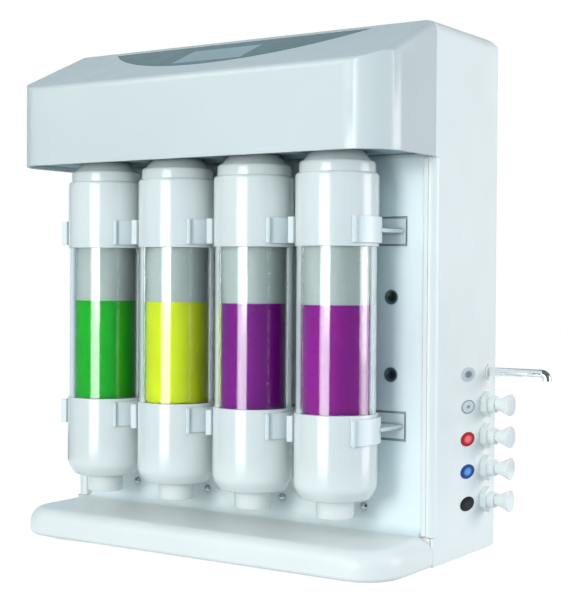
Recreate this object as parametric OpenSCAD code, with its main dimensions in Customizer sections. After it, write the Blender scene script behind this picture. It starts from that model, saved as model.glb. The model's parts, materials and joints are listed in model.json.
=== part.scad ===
// Benchtop water purification unit: a rear casing with a sloped head over a row of
// clear filter cartridges, a base tray below them, and the water ports on the right side.
// Inside every module x = 0 is the middle of the cabinet, y = 0 is the seam between head
// and casing with +y to the rear, and z = 0 is the underside of the base.

/* [Cabinet] */
// Width of the cabinet
body_w = 400; // [390:1:430]
// Depth of the rear casing behind the head seam
casing_d = 128; // [124:1:150]
// Height of the cabinet above the underside of its base
casing_h = 462; // [450:1:500]
// Wall of the moulded casing and head
wall = 3; // [2.5:0.5:4]
// Radius along the top side edges
top_edge_r = 10; // [6:1:14]
// Radius along the top rear edge
top_rear_r = 20; // [10:1:24]
// Radius of the rear upright edges
rear_edge_r = 8; // [6:1:12]
// Width of the lip at each side of the cartridge bay
lip_w = 12; // [10:1:14]
// Depth of the lip, which sets the front panel back
lip_d = 8; // [6:1:10]
// Radius of the lip's outer upright edge
lip_edge_r = 7; // [3:1:8]

/* [Head] */
// How far the head stands out over the cartridges
head_d = 94; // [88:1:110]
// Height of the head's lower edge
head_low = 347; // [344:1:360]
// How far the brow, where the sloped face starts, lies below the top
brow_drop = 43; // [32:1:57]
// Plan radius of the head's front corners
head_corner_r = 36; // [30:1:48]
// Radius along the brow
brow_r = 8; // [3:1:12]
// How far the underside plate sits above the head's lower edge
underside_inset = 4; // [2:1:6]
// Thickness of the underside plate
underside_t = 3; // [2:0.5:4]

/* [Display] */
// Radius of the lens's curved lower edge
lens_arc_r = 189; // [160:1:220]
// Distance of the lens's lowest point from the brow, along the slope
lens_low = 31; // [24:1:36]
// Distance of the lens's straight upper edge from the brow, along the slope
lens_top = 95; // [86:1:97]
// Thickness of the lens, which lies flush in the slope
lens_t = 1.5; // [1:0.25:2]
// Width of the display window
window_w = 76; // [50:1:90]
// Height of the display window along the slope
window_h = 38; // [24:1:42]
// Distance of the window's lower edge from the lens's lowest point
window_up = 10; // [8:1:14]

/* [Base] */
// How far the base stands out in front of the seam
base_d = 88; // [80:1:100]
// Height of the base
base_t = 25; // [20:1:30]
// Plan radius of the base's front corners
base_corner_r = 36; // [24:1:44]
// Radius of the rounded nose along the base's upper edge
nose_r = 14; // [6:1:16]
// Radius along the base's lower edge
toe_r = 4; // [2:1:5]
// Skin over the pockets under the base
base_skin = 4; // [3:0.5:5]
// Distance between the ribs under the base
rib_pitch = 46; // [40:1:48]
// Thickness of the ribs under the base
rib_t = 4; // [3:0.5:6]
// Solid rim round the pockets under the base
base_rim = 14; // [10:1:18]
// Radius of a rubber foot
foot_r = 13; // [9:1:18]
// Height of a rubber foot below the base
foot_h = 2; // [1.5:0.5:6]

/* [Cartridges] */
// Distance between neighbouring cartridges
cart_pitch = 85.2; // [82:0.1:90]
// Distance of the cartridge axes in front of the seam
cart_reach = 40; // [38:1:44]
// Radius of the white caps
cap_r = 35.5; // [35:0.5:37]
// Radius of the clear tube
tube_r = 34; // [32:0.25:34.5]
// Wall of the clear tube
tube_wall = 4.6; // [3:0.1:5]
// Radius of the filter core inside the tube
core_r = 27.9; // [24:0.1:28.4]
// Thickness of the coloured sleeve round the core
sleeve_t = 0.3; // [0.2:0.05:0.3]
// Height of the upper cap's plain wall
upper_cap_h = 62; // [54:1:66]
// Radius of the ring on the upper cap
ring_r = 32.5; // [28:0.5:33]
// Height of the ring on the upper cap
ring_h = 10; // [6:1:12]
// Height of the cone between ring and spigot
cone_h = 11; // [8:1:14]
// Radius at the top of the cone
cone_top_r = 20; // [17.5:0.5:22]
// Radius of the spigot that enters the head
spigot_r = 14; // [10:0.5:14.5]
// Length of the spigot
spigot_h = 11; // [8:0.5:11.5]
// Length of clear tube between the caps
bare_tube_h = 140; // [132:1:142]
// Height of the coloured sleeve
sleeve_h = 91; // [60:1:110]
// Height of the lower cap's plain wall
lower_cap_h = 63; // [54:1:64]
// Height of the lower cap's tapered shoulder
taper_h = 9.5; // [6:0.5:12]
// Radius at the foot of the taper
taper_r = 29.5; // [24:0.5:31]
// Radius of the neck under the lower cap
neck_r = 16; // [10:0.5:20]
// Height of the neck under the lower cap
neck_h = 16.5; // [10:0.5:17]
// Radius of the rounded edges of the caps
cap_edge_r = 3; // [1:0.5:4]

/* [Clips] */
// Height of a snap clip
clip_h = 22; // [16:1:26]
// Thickness of a clip's arms
clip_t = 2.6; // [2:0.2:3.2]
// Half of the clip's open angle at the front
clip_open = 51; // [40:1:60]
// Length of the lips that stand out from the ends of the arms
clip_lip = 3.5; // [2:0.5:6]
// Width of a clip's base plate
clip_plate_w = 79; // [60:1:80]
// Thickness of a clip's base plate
clip_plate_t = 1.5; // [1:0.5:3]
// Depth of the pockets in the front panel that the base plates sit in
clip_pocket_d = 2; // [0.5:0.5:2]
// Width of the groove that a pocket leaves round its base plate
clip_pocket_gap = 1.8; // [0.5:0.1:2]
// Thickness of the middle rib of a clip
clip_rib_t = 3; // [2:0.5:5]
// Distance from the end of a cap's wall to the middle of its clip
clip_inset = 14; // [13:0.5:18]

/* [Front panel] */
// Thickness of the front panel
panel_t = 3; // [2:0.5:4]
// Height of the bright dome screws above the underside of the base
dome_screw_z = 44; // [36:1:60]
// Radius of a dome screw's head
dome_screw_r = 4; // [3:0.5:5]
// Distance of the black screws from the middle of the cabinet
black_screw_x = 154; // [150:1:160]
// Height of the upper black screws above the underside of the base
black_screw_z = 228; // [200:1:240]
// Height between the upper and the lower black screws
black_screw_drop = 67; // [50:1:80]
// Radius of the flange of a black screw
black_screw_r = 6.2; // [6:0.1:7]
// Radius of the cup of a black screw in its hole in the panel
black_cup_r = 5.4; // [5.2:0.1:5.8]

/* [Side ports] */
// Height of the spout, the top row of the side fittings
spout_z = 160; // [150:1:180]
// Distance between the rows of the side fittings
row_pitch = 28.6; // [27:0.2:30]
// Distance of the four ports in front of the rear face
port_in = 28; // [25:1:34]
// Distance of the spout in front of the rear face
spout_in = 20; // [18:1:34]
// Distance between the markers and the ports, from middle to middle
marker_gap = 35; // [30:1:50]
// Width across the flats of a port's hexagon
port_hex_af = 20.4; // [18:0.2:22]
// Thickness of a port's hexagon
port_hex_t = 6; // [4:0.5:9]
// Radius of the collar on a port's hexagon
port_collar_r = 7.4; // [6.5:0.1:9]
// Length of the collar on a port's hexagon
port_collar_l = 6; // [3:0.5:9]
// Radius of a port's threaded barrel
barrel_r = 8; // [7:0.5:9]
// Length of a port's barrel inside the casing
barrel_in = 24; // [18:1:26]
// Radius of the tube size that the ports take
port_tube_r = 4.75; // [3.2:0.05:5]
// Radius of a plug's flared head
plug_head_r = 10.4; // [8:0.1:11]
// Length of a plug's flared head
plug_head_l = 14; // [10:0.5:20]
// Length of a plug's stem inside its port
plug_stem_l = 22; // [12:1:24]
// Length of an oval marker
marker_l = 27; // [16:1:30]
// Height of an oval marker
marker_h = 12.5; // [8:0.5:14]
// Thickness of an oval marker
marker_t = 0.6; // [0.4:0.1:1]

/* [Spout] */
// Outer radius of the spout's tube
spout_r = 4; // [3:0.25:5]
// Wall of the spout's tube
spout_wall = 1; // [0.8:0.1:1.2]
// How far the spout stands out from the casing
spout_reach = 60; // [40:1:120]
// Bend radius at the spout's tip
spout_bend_r = 5; // [4.5:0.5:12]
// Straight length below the bend
spout_drop = 1; // [0.5:0.5:20]

/* [Rear hatch] */
// Width of the hatch in the rear wall
hatch_w = 300; // [240:1:330]
// Height of the hatch in the rear wall
hatch_h = 320; // [240:1:340]
// Height of the hatch's lower edge
hatch_z = 60; // [50:1:80]
// Thickness of the hatch plate, which lies flush in the rear wall
hatch_t = 1.5; // [1:0.25:2]
// Width of the ledge that the hatch rests on
ledge_w = 9; // [7:1:12]
// Number of louvres in a column
louvre_n = 9; // [4:1:14]
// Length of a louvre
louvre_l = 70; // [40:1:100]
// Height of a louvre
louvre_h = 4; // [2:0.5:6]
// Distance between louvres
louvre_pitch = 11; // [8:0.5:14]
// Distance of the power entry from the middle of the cabinet
entry_x = 40; // [20:1:60]
// Height of the power entry's middle
entry_z = 170; // [150:1:190]
// Width of the power entry's flange
entry_w = 34; // [32:1:44]
// Height of the power entry's flange
entry_h = 68; // [66:1:80]
// Depth of the power entry behind the hatch
entry_depth = 24; // [20:1:30]

/* [Inside] */
// Radius of the membrane vessel
vessel_r = 42; // [35:1:44]
// Length of the membrane vessel below its cap
vessel_l = 250; // [200:1:260]
// Radius of the pump motor
motor_r = 28; // [22:1:32]
// Length of the pump motor
motor_l = 70; // [50:1:80]
// Radius of the pump head
pump_r = 34; // [30:1:38]
// Length of the pump head
pump_l = 44; // [34:1:50]
// Width of the power supply
supply_w = 110; // [80:1:130]
// Height of the power supply
supply_h = 78; // [60:1:100]
// Depth of the power supply
supply_d = 38; // [24:1:44]
// Outer radius of the inner tubing
hose_r = 3.2; // [2.5:0.1:4]
// Bend radius of the inner tubing
hose_bend_r = 16; // [12:1:20]

/* [Hidden] */
$fn = 72;
cart_count = 4;
port_count = 4;
eps = 0.01;
cut = 1;
over = 5;
fit_gap = 0.3;
run_gap = 0.05;
seat_gap = 0.2;

half_w = body_w / 2;
brow_h = casing_h - brow_drop;
slope_a = atan2(brow_drop, head_d);
slope_l = norm([head_d, brow_drop]);
plate_z = head_low + underside_inset;
socket_z = plate_z + underside_t;
panel_back = lip_d + panel_t;
window_ledge = 2;

// Levels of a cartridge, counted down from its seat in the head
cart_y = -cart_reach;
shoulder_z = socket_z - seat_gap;
ring_top_z = shoulder_z - cone_h;
upper_cap_z = ring_top_z - ring_h - upper_cap_h;
lower_cap_top_z = upper_cap_z - bare_tube_h;
lower_cap_z = lower_cap_top_z - lower_cap_h;
taper_z = lower_cap_z - taper_h;
neck_z = taper_z - neck_h;
cap_floor = 7;
cap_roof = 8;
cone_hole_r = cone_top_r + 3;
groove_r = 1.1;
neck_draft = 0.5;
neck_edge_r = 1.5;
tube_foot_z = lower_cap_z + cap_floor;
tube_top_z = ring_top_z - ring_h - cap_roof;
upper_clip_z = upper_cap_z + clip_inset;
lower_clip_z = lower_cap_top_z - clip_inset;

function cart_x(k) = (k - (cart_count - 1) / 2) * cart_pitch;
function row_z(k) = spout_z - k * row_pitch;

// Pockets under the base
rib_cols = floor((body_w - 2 * base_rim) / rib_pitch);
rib_rows = floor((base_d + casing_d - wall - 2 * base_rim) / rib_pitch);
base_mid_y = (casing_d - wall - base_d) / 2;
pocket_w = rib_pitch - rib_t;
function pocket_x(i) = (i - (rib_cols - 1) / 2) * rib_pitch;
function pocket_y(j) = base_mid_y + (j - (rib_rows - 1) / 2) * rib_pitch;
foot_draft = 1;
foot_edge_r = 0.6;
function is_corner(i, j) = (i == 0 || i == rib_cols - 1) && (j == 0 || j == rib_rows - 1);

// Screws
shank_r = 1.5;
shank_l = 8;
screw_slot_w = 0.8;
dome_h = 2.4;
black_flange_t = 0.8;
black_rim = 0.7;
black_dish_r = 2.6;
black_dish_d = 0.7 * panel_t;
black_socket_r = 1.8;
black_socket_d = 0.15 * panel_t;
black_at = [for (i = [-1, 1]) for (j = [0, 1]) [i * black_screw_x, black_screw_z - j * black_screw_drop]];
hatch_screw_head_r = 3;
hatch_screw_head_t = 1.2;
hatch_screw_at = [for (i = [-1, 1]) for (j = [0, 0.5, 1])
    [i * (hatch_w - ledge_w) / 2, hatch_z + ledge_w / 2 + j * (hatch_h - ledge_w)]];

// Snap clips
clip_in_r = cap_r + run_gap;
clip_out_r = clip_in_r + clip_t;
clip_stem_w = 16;
clip_plate_y = lip_d + clip_pocket_d - clip_plate_t - cart_y;
clip_rib_in = 2;
lip_lap = 0.4;

// Head sockets
socket_r = spigot_r + 4;
socket_h = spigot_h + 8;
socket_flange_r = socket_r + 9;
socket_flange_t = 3;
tail_dx = 8;
tail_r = 4.5;
tail_l = 34;
tail_z = socket_z + socket_h - tail_r - 1;

// Side fittings
port_y = casing_d - port_in;
spout_y = casing_d - spout_in;
marker_y = port_y - marker_gap;
nut_af = port_hex_af;
nut_t = 6;
spout_barrel_r = spout_r + 2.5;
spout_flange_r = spout_r + 3.5;
spout_flange_t = 1.2;
spout_barrel_in = 22;
spout_tail_in = 4;
spout_nut_r = spout_barrel_r + 3;
port_out = port_hex_t + port_collar_l;
port_face = half_w + port_out;
plug_edge_r = 2;
plug_flank_r = plug_head_r - port_tube_r + 4;
plug_waist_r = port_tube_r + 0.3;
oval_n = 64;

// Rear hatch
louvre_drop = 40;
louvre_end_r = 0.48 * louvre_h;

// Power entry
entry_flange_t = 2.5;
entry_side = 3;
entry_body_w = entry_w - 2 * entry_side;
entry_body_h = entry_h - 2 * entry_side;
inlet_w = 22;
inlet_h = 15.5;
inlet_deep = 14;
inlet_key = 4;
inlet_dz = -entry_h / 2 + 18;
blade_t = 2;
blade_h = 4;
blade_l = 11;
blade_dx = 7;
blade_dz = 0.5;
earth_dz = 3.5;
rocker_w = 20;
rocker_r = 12;
rocker_gap = 0.5;
rocker_dz = entry_h / 2 - 19;
rocker_sink = 2;
rocker_tilt = 8;
rocker_back = 7;
rocker_face_a = 19;
rocker_dip = 1.6;
rocker_room = 4;
pivot_r = 1.5;
pivot_l = 2;
pivot_room = 0.5;
rear_proud = rocker_r * sin(rocker_face_a + rocker_tilt) - rocker_sink;

// Inside
vessel_x = -120;
vessel_y = (panel_back + casing_d - wall) / 2;
vessel_z = 46;
vessel_cap_r = vessel_r + 4;
vessel_cap_h = 30;
vessel_cap_step = 4;
vessel_foot_r = vessel_r / 3;
vessel_clip_t = 3;
vessel_clip_h = 20;
vessel_clip_open = 55;
vessel_stem_w = 20;
vessel_top_z = vessel_z + vessel_l + vessel_cap_h;
pump_y = vessel_y;
pump_x = 20;
pump_gap = 8;
pump_z = base_t + pump_r + pump_gap;
pump_port_l = 10;
pump_neck_l = 8;
pump_cover_l = 6;
pump_step = 4;
motor_foot_t = 4;
motor_foot_w = 2 * motor_r - 8;
motor_foot_l = motor_l - 20;
motor_foot_x = pump_x - motor_l + 8;
motor_web_t = 8;
motor_hole_r = 2.2;
motor_boss_l = 6;
supply_gap = 2.5;
supply_x = black_screw_x - shank_r - supply_gap - supply_w / 2;
supply_z = 200;
supply_slot_w = 4;
supply_slot_deep = 2;
supply_slot_pitch = 9;
supply_slot_n = 8;
supply_slot_end = 15;
block_w = 30;
block_d = 28;
block_h = 118;
coil_r = 13;
coil_l = 34;
probe_r = 8;
probe_h = 30;
probe_neck_l = 6;
probe_x = cart_x(cart_count - 1) + tail_dx;
block_x = probe_x;
board_w = 150;
board_l = 60;
board_t = 1.6;
board_gap = 6;
post_r = 3;
post_in = 14;
board_hole_r = 1.5;
board_hole_in = 6;
link_hose_l = 10;
pump_hose_l = 20;

// Middle of the bounding box, so that the origin lies under the whole unit
shift_x = spout_reach / 2;
shift_y = (casing_d + rear_proud - head_d) / 2;

// Shared shapes

function unit(v) = v / norm(v);
function leg(points, i, step) = unit(points[(i + step + len(points)) % len(points)] - points[i]);
function half_angle(points, i) = acos(leg(points, i, -1) * leg(points, i, 1)) / 2;

function arc_end(points, radii, i, side) =
    points[i] + leg(points, i, side) * radii[i] / tan(half_angle(points, i));
function arc_centre(points, radii, i) =
    points[i] + unit(leg(points, i, -1) + leg(points, i, 1)) * radii[i] / sin(half_angle(points, i));

// Convex outline whose corners are true arcs of the given radii
module soft_polygon(points, radii) {
    last = len(points) - 1;
    polygon([for (i = [0 : last]) for (side = [-1, 1]) arc_end(points, radii, i, side)]);
    for (i = [0 : last])
        if (radii[i] > 0)
            intersection() {
                translate(arc_centre(points, radii, i)) circle(r = radii[i]);
                polygon([arc_end(points, radii, i, -1), points[i], arc_end(points, radii, i, 1),
                    arc_centre(points, radii, i)]);
            }
}

// Moves a piece from the cabinet's own axes to the origin under the whole unit
module placed() {
    translate([-shift_x, -shift_y, foot_h]) children();
}

// Stands an outline drawn in y and z up and runs it along x
module along_x(length) {
    translate([-length / 2, 0, 0]) rotate([90, 0, 90]) linear_extrude(length) children();
}

// Stands an outline drawn in x and z up and runs it along y from y0 to y1
module along_y(y0, y1) {
    translate([0, y1, 0]) rotate([90, 0, 0]) linear_extrude(y1 - y0) children();
}

// Turns a shape made on the z axis so that it points to the right
module to_right(x, y, z) {
    translate([x, y, z]) rotate([0, 90, 0]) children();
}

// Turns a shape made on the z axis so that it points to the rear
module to_rear(x, y, z) {
    translate([x, y, z]) rotate([-90, 0, 0]) children();
}

// Local axes of the sloped face: x across, y up the slope from the brow, z outwards
module on_slope() {
    translate([0, -head_d, brow_h]) rotate([slope_a, 0, 0]) children();
}

// Casing

module casing_block(inset, past) {
    w = half_w - inset;
    d = casing_d - inset;
    h = casing_h - inset;
    intersection() {
        translate([0, 0, -past])
            linear_extrude(h + past)
                soft_polygon([[-w, -past], [w, -past], [w, d], [-w, d]],
                    [0, 0, rear_edge_r - inset, rear_edge_r - inset]);
        along_x(body_w)
            soft_polygon([[-past, -past], [d, -past], [d, h], [-past, h]], [0, 0, top_rear_r - inset, 0]);
        along_y(-past, casing_d)
            soft_polygon([[-w, -past], [w, -past], [w, h], [-w, h]],
                [0, 0, top_edge_r - inset, top_edge_r - inset]);
    }
}

module lip_edge_cutter() {
    translate([half_w - lip_edge_r, 0, base_t])
        linear_extrude(head_low - base_t)
            difference() {
                translate([0, -over]) square([lip_edge_r + over, lip_edge_r + over]);
                translate([0, lip_edge_r]) circle(r = lip_edge_r);
                translate([-eps, lip_edge_r - eps]) square([lip_edge_r + 2 * eps, over]);
            }
}

module rear_casing() {
    color("whitesmoke") placed() difference() {
        union() {
            difference() {
                casing_block(0, 0);
                casing_block(wall, over);
            }
            for (side = [0, 1]) mirror([side, 0, 0])
                translate([half_w - lip_w, 0, base_t])
                    cube([lip_w - wall / 2, lip_d, head_low - base_t]);
        }
        lip_edge_cutter();
        mirror([1, 0, 0]) lip_edge_cutter();
        to_right(half_w - wall - cut, spout_y, row_z(0))
            cylinder(r = spout_barrel_r + fit_gap, h = wall + 2 * cut);
        for (k = [1 : port_count])
            to_right(half_w - wall - cut, port_y, row_z(k))
                cylinder(r = barrel_r + fit_gap, h = wall + 2 * cut);
        translate([-hatch_w / 2, casing_d - hatch_t, hatch_z])
            cube([hatch_w, hatch_t + cut, hatch_h]);
        translate([-hatch_w / 2 + ledge_w, casing_d - wall - cut, hatch_z + ledge_w])
            cube([hatch_w - 2 * ledge_w, wall + 2 * cut, hatch_h - 2 * ledge_w]);
        hatch_screw_holes();
    }
}

module louvre_column(x) {
    top_z = hatch_z + hatch_h - louvre_drop;
    for (k = [0 : louvre_n - 1])
        to_rear(x - louvre_l / 2, casing_d - hatch_t - cut, top_z - k * louvre_pitch)
            linear_extrude(hatch_t + 2 * cut)
                soft_polygon([[0, 0], [louvre_l, 0], [louvre_l, louvre_h], [0, louvre_h]],
                    [for (i = [0 : 3]) louvre_end_r]);
}

module hatch_screw_holes() {
    for (at = hatch_screw_at)
        to_rear(at[0], casing_d - wall - cut, at[1]) cylinder(r = shank_r + run_gap, h = wall + 2 * cut);
}

module back_hatch() {
    hole_w = entry_body_w + 2 * fit_gap;
    hole_h = entry_body_h + 2 * fit_gap;
    color("gainsboro") placed() difference() {
        translate([-hatch_w / 2 + fit_gap, casing_d - hatch_t, hatch_z + fit_gap])
            cube([hatch_w - 2 * fit_gap, hatch_t, hatch_h - 2 * fit_gap]);
        louvre_column(-hatch_w / 4);
        louvre_column(hatch_w / 4);
        hatch_screw_holes();
        translate([entry_x - hole_w / 2, casing_d - hatch_t - cut, entry_z - hole_h / 2])
            cube([hole_w, hatch_t + 2 * cut, hole_h]);
    }
}

module hatch_screws() {
    color("silver") placed()
        for (at = hatch_screw_at)
            difference() {
                to_rear(at[0], casing_d, at[1]) {
                    cylinder(r = hatch_screw_head_r, h = hatch_screw_head_t);
                    translate([0, 0, -shank_l]) cylinder(r = shank_r, h = shank_l + eps);
                }
                to_rear(at[0], casing_d + hatch_screw_head_t / 2, at[1])
                    translate([-hatch_screw_head_r, -screw_slot_w / 2, 0])
                        cube([2 * hatch_screw_head_r, screw_slot_w, hatch_screw_head_t]);
            }
}

// Base

module base_edge(reach) {
    soft_polygon([[0, 0], [reach, 0], [reach, base_t], [0, base_t]], [0, toe_r, nose_r, 0]);
}

module base_tray() {
    side_l = base_d - base_corner_r;
    mid_w = body_w - 2 * base_corner_r;
    floor_w = body_w - 2 * wall - 2 * fit_gap;
    floor_d = casing_d - wall - fit_gap;
    floor_r = rear_edge_r - wall;
    color("whitesmoke") placed() difference() {
        union() {
            mirror([0, 1, 0]) along_x(mid_w) base_edge(base_d);
            for (side = [0, 1]) mirror([side, 0, 0]) {
                translate([half_w - base_corner_r, -side_l, 0])
                    rotate([0, 0, -90])
                        rotate_extrude(angle = 90) base_edge(base_corner_r);
                translate([half_w - base_corner_r, 0, 0])
                    rotate([90, 0, 0]) linear_extrude(side_l) base_edge(base_corner_r);
            }
            linear_extrude(base_t)
                soft_polygon([[-floor_w / 2, -eps], [floor_w / 2, -eps], [floor_w / 2, floor_d],
                    [-floor_w / 2, floor_d]], [0, 0, floor_r, floor_r]);
        }
        for (i = [0 : rib_cols - 1]) for (j = [0 : rib_rows - 1])
            if (!is_corner(i, j))
                translate([pocket_x(i) - pocket_w / 2, pocket_y(j) - pocket_w / 2, -cut])
                    cube([pocket_w, pocket_w, base_t - base_skin + cut]);
    }
}

module feet() {
    color("dimgray") placed()
        for (i = [0, rib_cols - 1]) for (j = [0, rib_rows - 1])
            translate([pocket_x(i), pocket_y(j), -foot_h])
                rotate_extrude()
                    soft_polygon([[0, 0], [foot_r - foot_draft, 0], [foot_r, foot_h], [0, foot_h]],
                        [0, foot_edge_r, 0, 0]);
}

// Front panel

module front_panel() {
    w = body_w - 2 * wall - 2 * fit_gap;
    pocket_plate_w = clip_plate_w + 2 * clip_pocket_gap;
    pocket_plate_h = clip_h + 2 * clip_pocket_gap;
    color("gainsboro") placed() difference() {
        translate([-w / 2, lip_d, base_t]) cube([w, panel_t, plate_z - base_t]);
        for (k = [0 : cart_count - 1]) for (z = [upper_clip_z, lower_clip_z])
            translate([cart_x(k) - pocket_plate_w / 2, lip_d - cut, z - pocket_plate_h / 2])
                cube([pocket_plate_w, clip_pocket_d + cut, pocket_plate_h]);
        for (k = [0 : cart_count - 1])
            to_rear(cart_x(k), lip_d - cut, dome_screw_z)
                cylinder(r = shank_r + run_gap, h = panel_t + 2 * cut);
        for (at = black_at)
            to_rear(at[0], lip_d - cut, at[1])
                cylinder(r = black_cup_r + run_gap, h = panel_t + 2 * cut);
    }
}

module dome_screws() {
    ball_r = (dome_screw_r * dome_screw_r + dome_h * dome_h) / (2 * dome_h);
    color("silver") placed()
        for (k = [0 : cart_count - 1])
            translate([cart_x(k), lip_d, dome_screw_z])
                rotate([90, 0, 0]) {
                    intersection() {
                        translate([0, 0, dome_h - ball_r]) sphere(r = ball_r);
                        cylinder(r = dome_screw_r + cut, h = dome_h + cut);
                    }
                    translate([0, 0, -shank_l]) cylinder(r = shank_r, h = shank_l + eps);
                }
}

module black_screws() {
    dish_h = black_dish_d + black_flange_t;
    dish_grow = (black_screw_r - black_rim - black_dish_r) / dish_h;
    shank_end = (panel_t + black_dish_d + black_socket_d) / 2;
    color("black") placed()
        for (at = black_at)
            translate([at[0], lip_d, at[1]])
                rotate([90, 0, 0]) difference() {
                    union() {
                        cylinder(r = black_screw_r, h = black_flange_t);
                        translate([0, 0, -panel_t]) cylinder(r = black_cup_r, h = panel_t + eps);
                        translate([0, 0, -shank_l]) cylinder(r = shank_r, h = shank_l - shank_end);
                    }
                    translate([0, 0, -black_dish_d])
                        cylinder(r1 = black_dish_r, r2 = black_dish_r + dish_grow * (dish_h + cut),
                            h = dish_h + cut);
                    translate([0, 0, -black_dish_d - black_socket_d])
                        cylinder(r = black_socket_r, h = 2 * black_socket_d, $fn = 6);
                }
}

// Head

function slope_z(y, inset) = brow_h + (y + head_d) * tan(slope_a) - inset / cos(slope_a);

module head_block(inset, past) {
    w = half_w - inset;
    d = head_d - inset;
    corner_r = head_corner_r - inset;
    edge_r = top_edge_r - inset;
    brow_edge_r = max(brow_r - inset, 1);
    intersection() {
        translate([0, 0, head_low - past])
            linear_extrude(casing_h)
                soft_polygon([[-w, -d], [w, -d], [w, past], [-w, past]], [corner_r, corner_r, 0, 0]);
        along_x(body_w)
            soft_polygon([[-d, head_low - past], [past, head_low - past],
                [past, slope_z(past, inset)], [-d, slope_z(-d, inset)]], [0, 0, 0, brow_edge_r]);
        on_slope()
            along_y(-slope_l, 2 * slope_l)
                soft_polygon([[-w, -casing_h], [w, -casing_h], [w, -inset], [-w, -inset]],
                    [0, 0, edge_r, edge_r]);
    }
}

module lens_outline() {
    intersection() {
        translate([0, lens_low + lens_arc_r]) circle(r = lens_arc_r);
        translate([-body_w / 2, lens_low]) square([body_w, lens_top - lens_low]);
    }
}

module window_outline(grow) {
    translate([-window_w / 2 - grow, lens_low + window_up - grow])
        square([window_w + 2 * grow, window_h + 2 * grow]);
}

module head_cover() {
    color("whitesmoke") placed() difference() {
        head_block(0, 0);
        head_block(wall, over);
        on_slope() translate([0, 0, -lens_t]) linear_extrude(over) lens_outline();
        on_slope() translate([0, 0, -2 * wall]) linear_extrude(4 * wall) window_outline(-window_ledge);
    }
}

module head_underside() {
    w = half_w - wall - fit_gap;
    d = head_d - wall - fit_gap;
    corner_r = head_corner_r - wall - fit_gap;
    color("lightsteelblue") placed() difference() {
        translate([0, 0, plate_z])
            linear_extrude(underside_t)
                soft_polygon([[-w, -d], [w, -d], [w, panel_back], [-w, panel_back]],
                    [corner_r, corner_r, 0, 0]);
        for (k = [0 : cart_count - 1])
            translate([cart_x(k), cart_y, plate_z - cut])
                cylinder(r = cone_hole_r, h = underside_t + 2 * cut);
    }
}

module head_sockets() {
    color("white") placed()
        for (k = [0 : cart_count - 1])
            translate([cart_x(k), cart_y, socket_z])
                difference() {
                    union() {
                        cylinder(r = socket_flange_r, h = socket_flange_t);
                        cylinder(r = socket_r, h = socket_h);
                        for (side = [-1, 1])
                            to_rear(side * tail_dx, 0, tail_z - socket_z) cylinder(r = tail_r, h = tail_l);
                    }
                    translate([0, 0, -cut]) cylinder(r = spigot_r + run_gap, h = spigot_h + 2 * cut);
                }
}

module control_lens() {
    color("darkslategray") placed() on_slope() translate([0, 0, -lens_t])
        linear_extrude(lens_t)
            difference() {
                lens_outline();
                window_outline(0);
            }
}

module display_window() {
    color("lightslategray") placed() on_slope() translate([0, 0, -lens_t])
        linear_extrude(lens_t) window_outline(-run_gap);
}

module control_board() {
    back_z = -wall - board_gap;
    color("seagreen") placed() on_slope() translate([0, lens_low + board_l / 2, 0]) {
        difference() {
            translate([-board_w / 2, -board_l / 2, back_z - board_t]) cube([board_w, board_l, board_t]);
            for (i = [-1, 1]) for (j = [-1, 1])
                translate([i * (board_w / 2 - board_hole_in), j * (board_l / 2 - board_hole_in),
                    back_z - board_t - cut])
                    cylinder(r = board_hole_r, h = board_t + 2 * cut);
        }
        for (i = [-1, 1]) for (j = [-1, 1])
            translate([i * (board_w / 2 - post_in), j * (board_l / 2 - board_hole_in), back_z - eps])
                cylinder(r = post_r, h = board_gap + eps);
    }
}

// Cartridges

module upper_cap(k) {
    cap_top_z = upper_cap_z + upper_cap_h;
    color("white") placed() translate([cart_x(k), cart_y, 0]) difference() {
        union() {
            rotate_extrude()
                translate([0, upper_cap_z])
                    soft_polygon([[0, 0], [cap_r, 0], [cap_r, upper_cap_h], [0, upper_cap_h]],
                        [0, 0, cap_edge_r, 0]);
            rotate_extrude()
                translate([0, cap_top_z - eps])
                    soft_polygon([[0, 0], [ring_r, 0], [ring_r, ring_h], [0, ring_h]],
                        [0, 0, cap_edge_r, 0]);
            translate([0, 0, ring_top_z - eps])
                cylinder(r1 = ring_r - cap_edge_r, r2 = cone_top_r, h = cone_h + eps);
            translate([0, 0, shoulder_z - eps]) cylinder(r = spigot_r, h = spigot_h);
        }
        translate([0, 0, upper_cap_z - cut])
            cylinder(r = tube_r + run_gap, h = tube_top_z - upper_cap_z + cut + run_gap);
        translate([0, 0, shoulder_z + spigot_h / 2])
            rotate_extrude() translate([spigot_r, 0]) circle(r = groove_r);
    }
}

module lower_cap(k) {
    color("white") placed() translate([cart_x(k), cart_y, 0]) difference() {
        union() {
            translate([0, 0, lower_cap_z]) cylinder(r = cap_r, h = lower_cap_h);
            translate([0, 0, taper_z]) cylinder(r1 = taper_r, r2 = cap_r, h = taper_h + eps);
            rotate_extrude()
                translate([0, neck_z])
                    soft_polygon([[0, 0], [neck_r, 0], [neck_r + neck_draft, neck_h + eps],
                        [0, neck_h + eps]], [0, neck_edge_r, 0, 0]);
        }
        translate([0, 0, tube_foot_z]) cylinder(r = tube_r + run_gap, h = lower_cap_h);
    }
}

module clear_tube(k) {
    length = tube_top_z - tube_foot_z;
    color([0.8, 0.9, 0.95, 0.35]) placed() translate([cart_x(k), cart_y, tube_foot_z])
        difference() {
            cylinder(r = tube_r, h = length);
            translate([0, 0, -cut]) cylinder(r = tube_r - tube_wall, h = length + 2 * cut);
        }
}

module filter_core(k) {
    color("darkgray") placed() translate([cart_x(k), cart_y, tube_foot_z])
        cylinder(r = core_r, h = tube_top_z - tube_foot_z - seat_gap);
}

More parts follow.
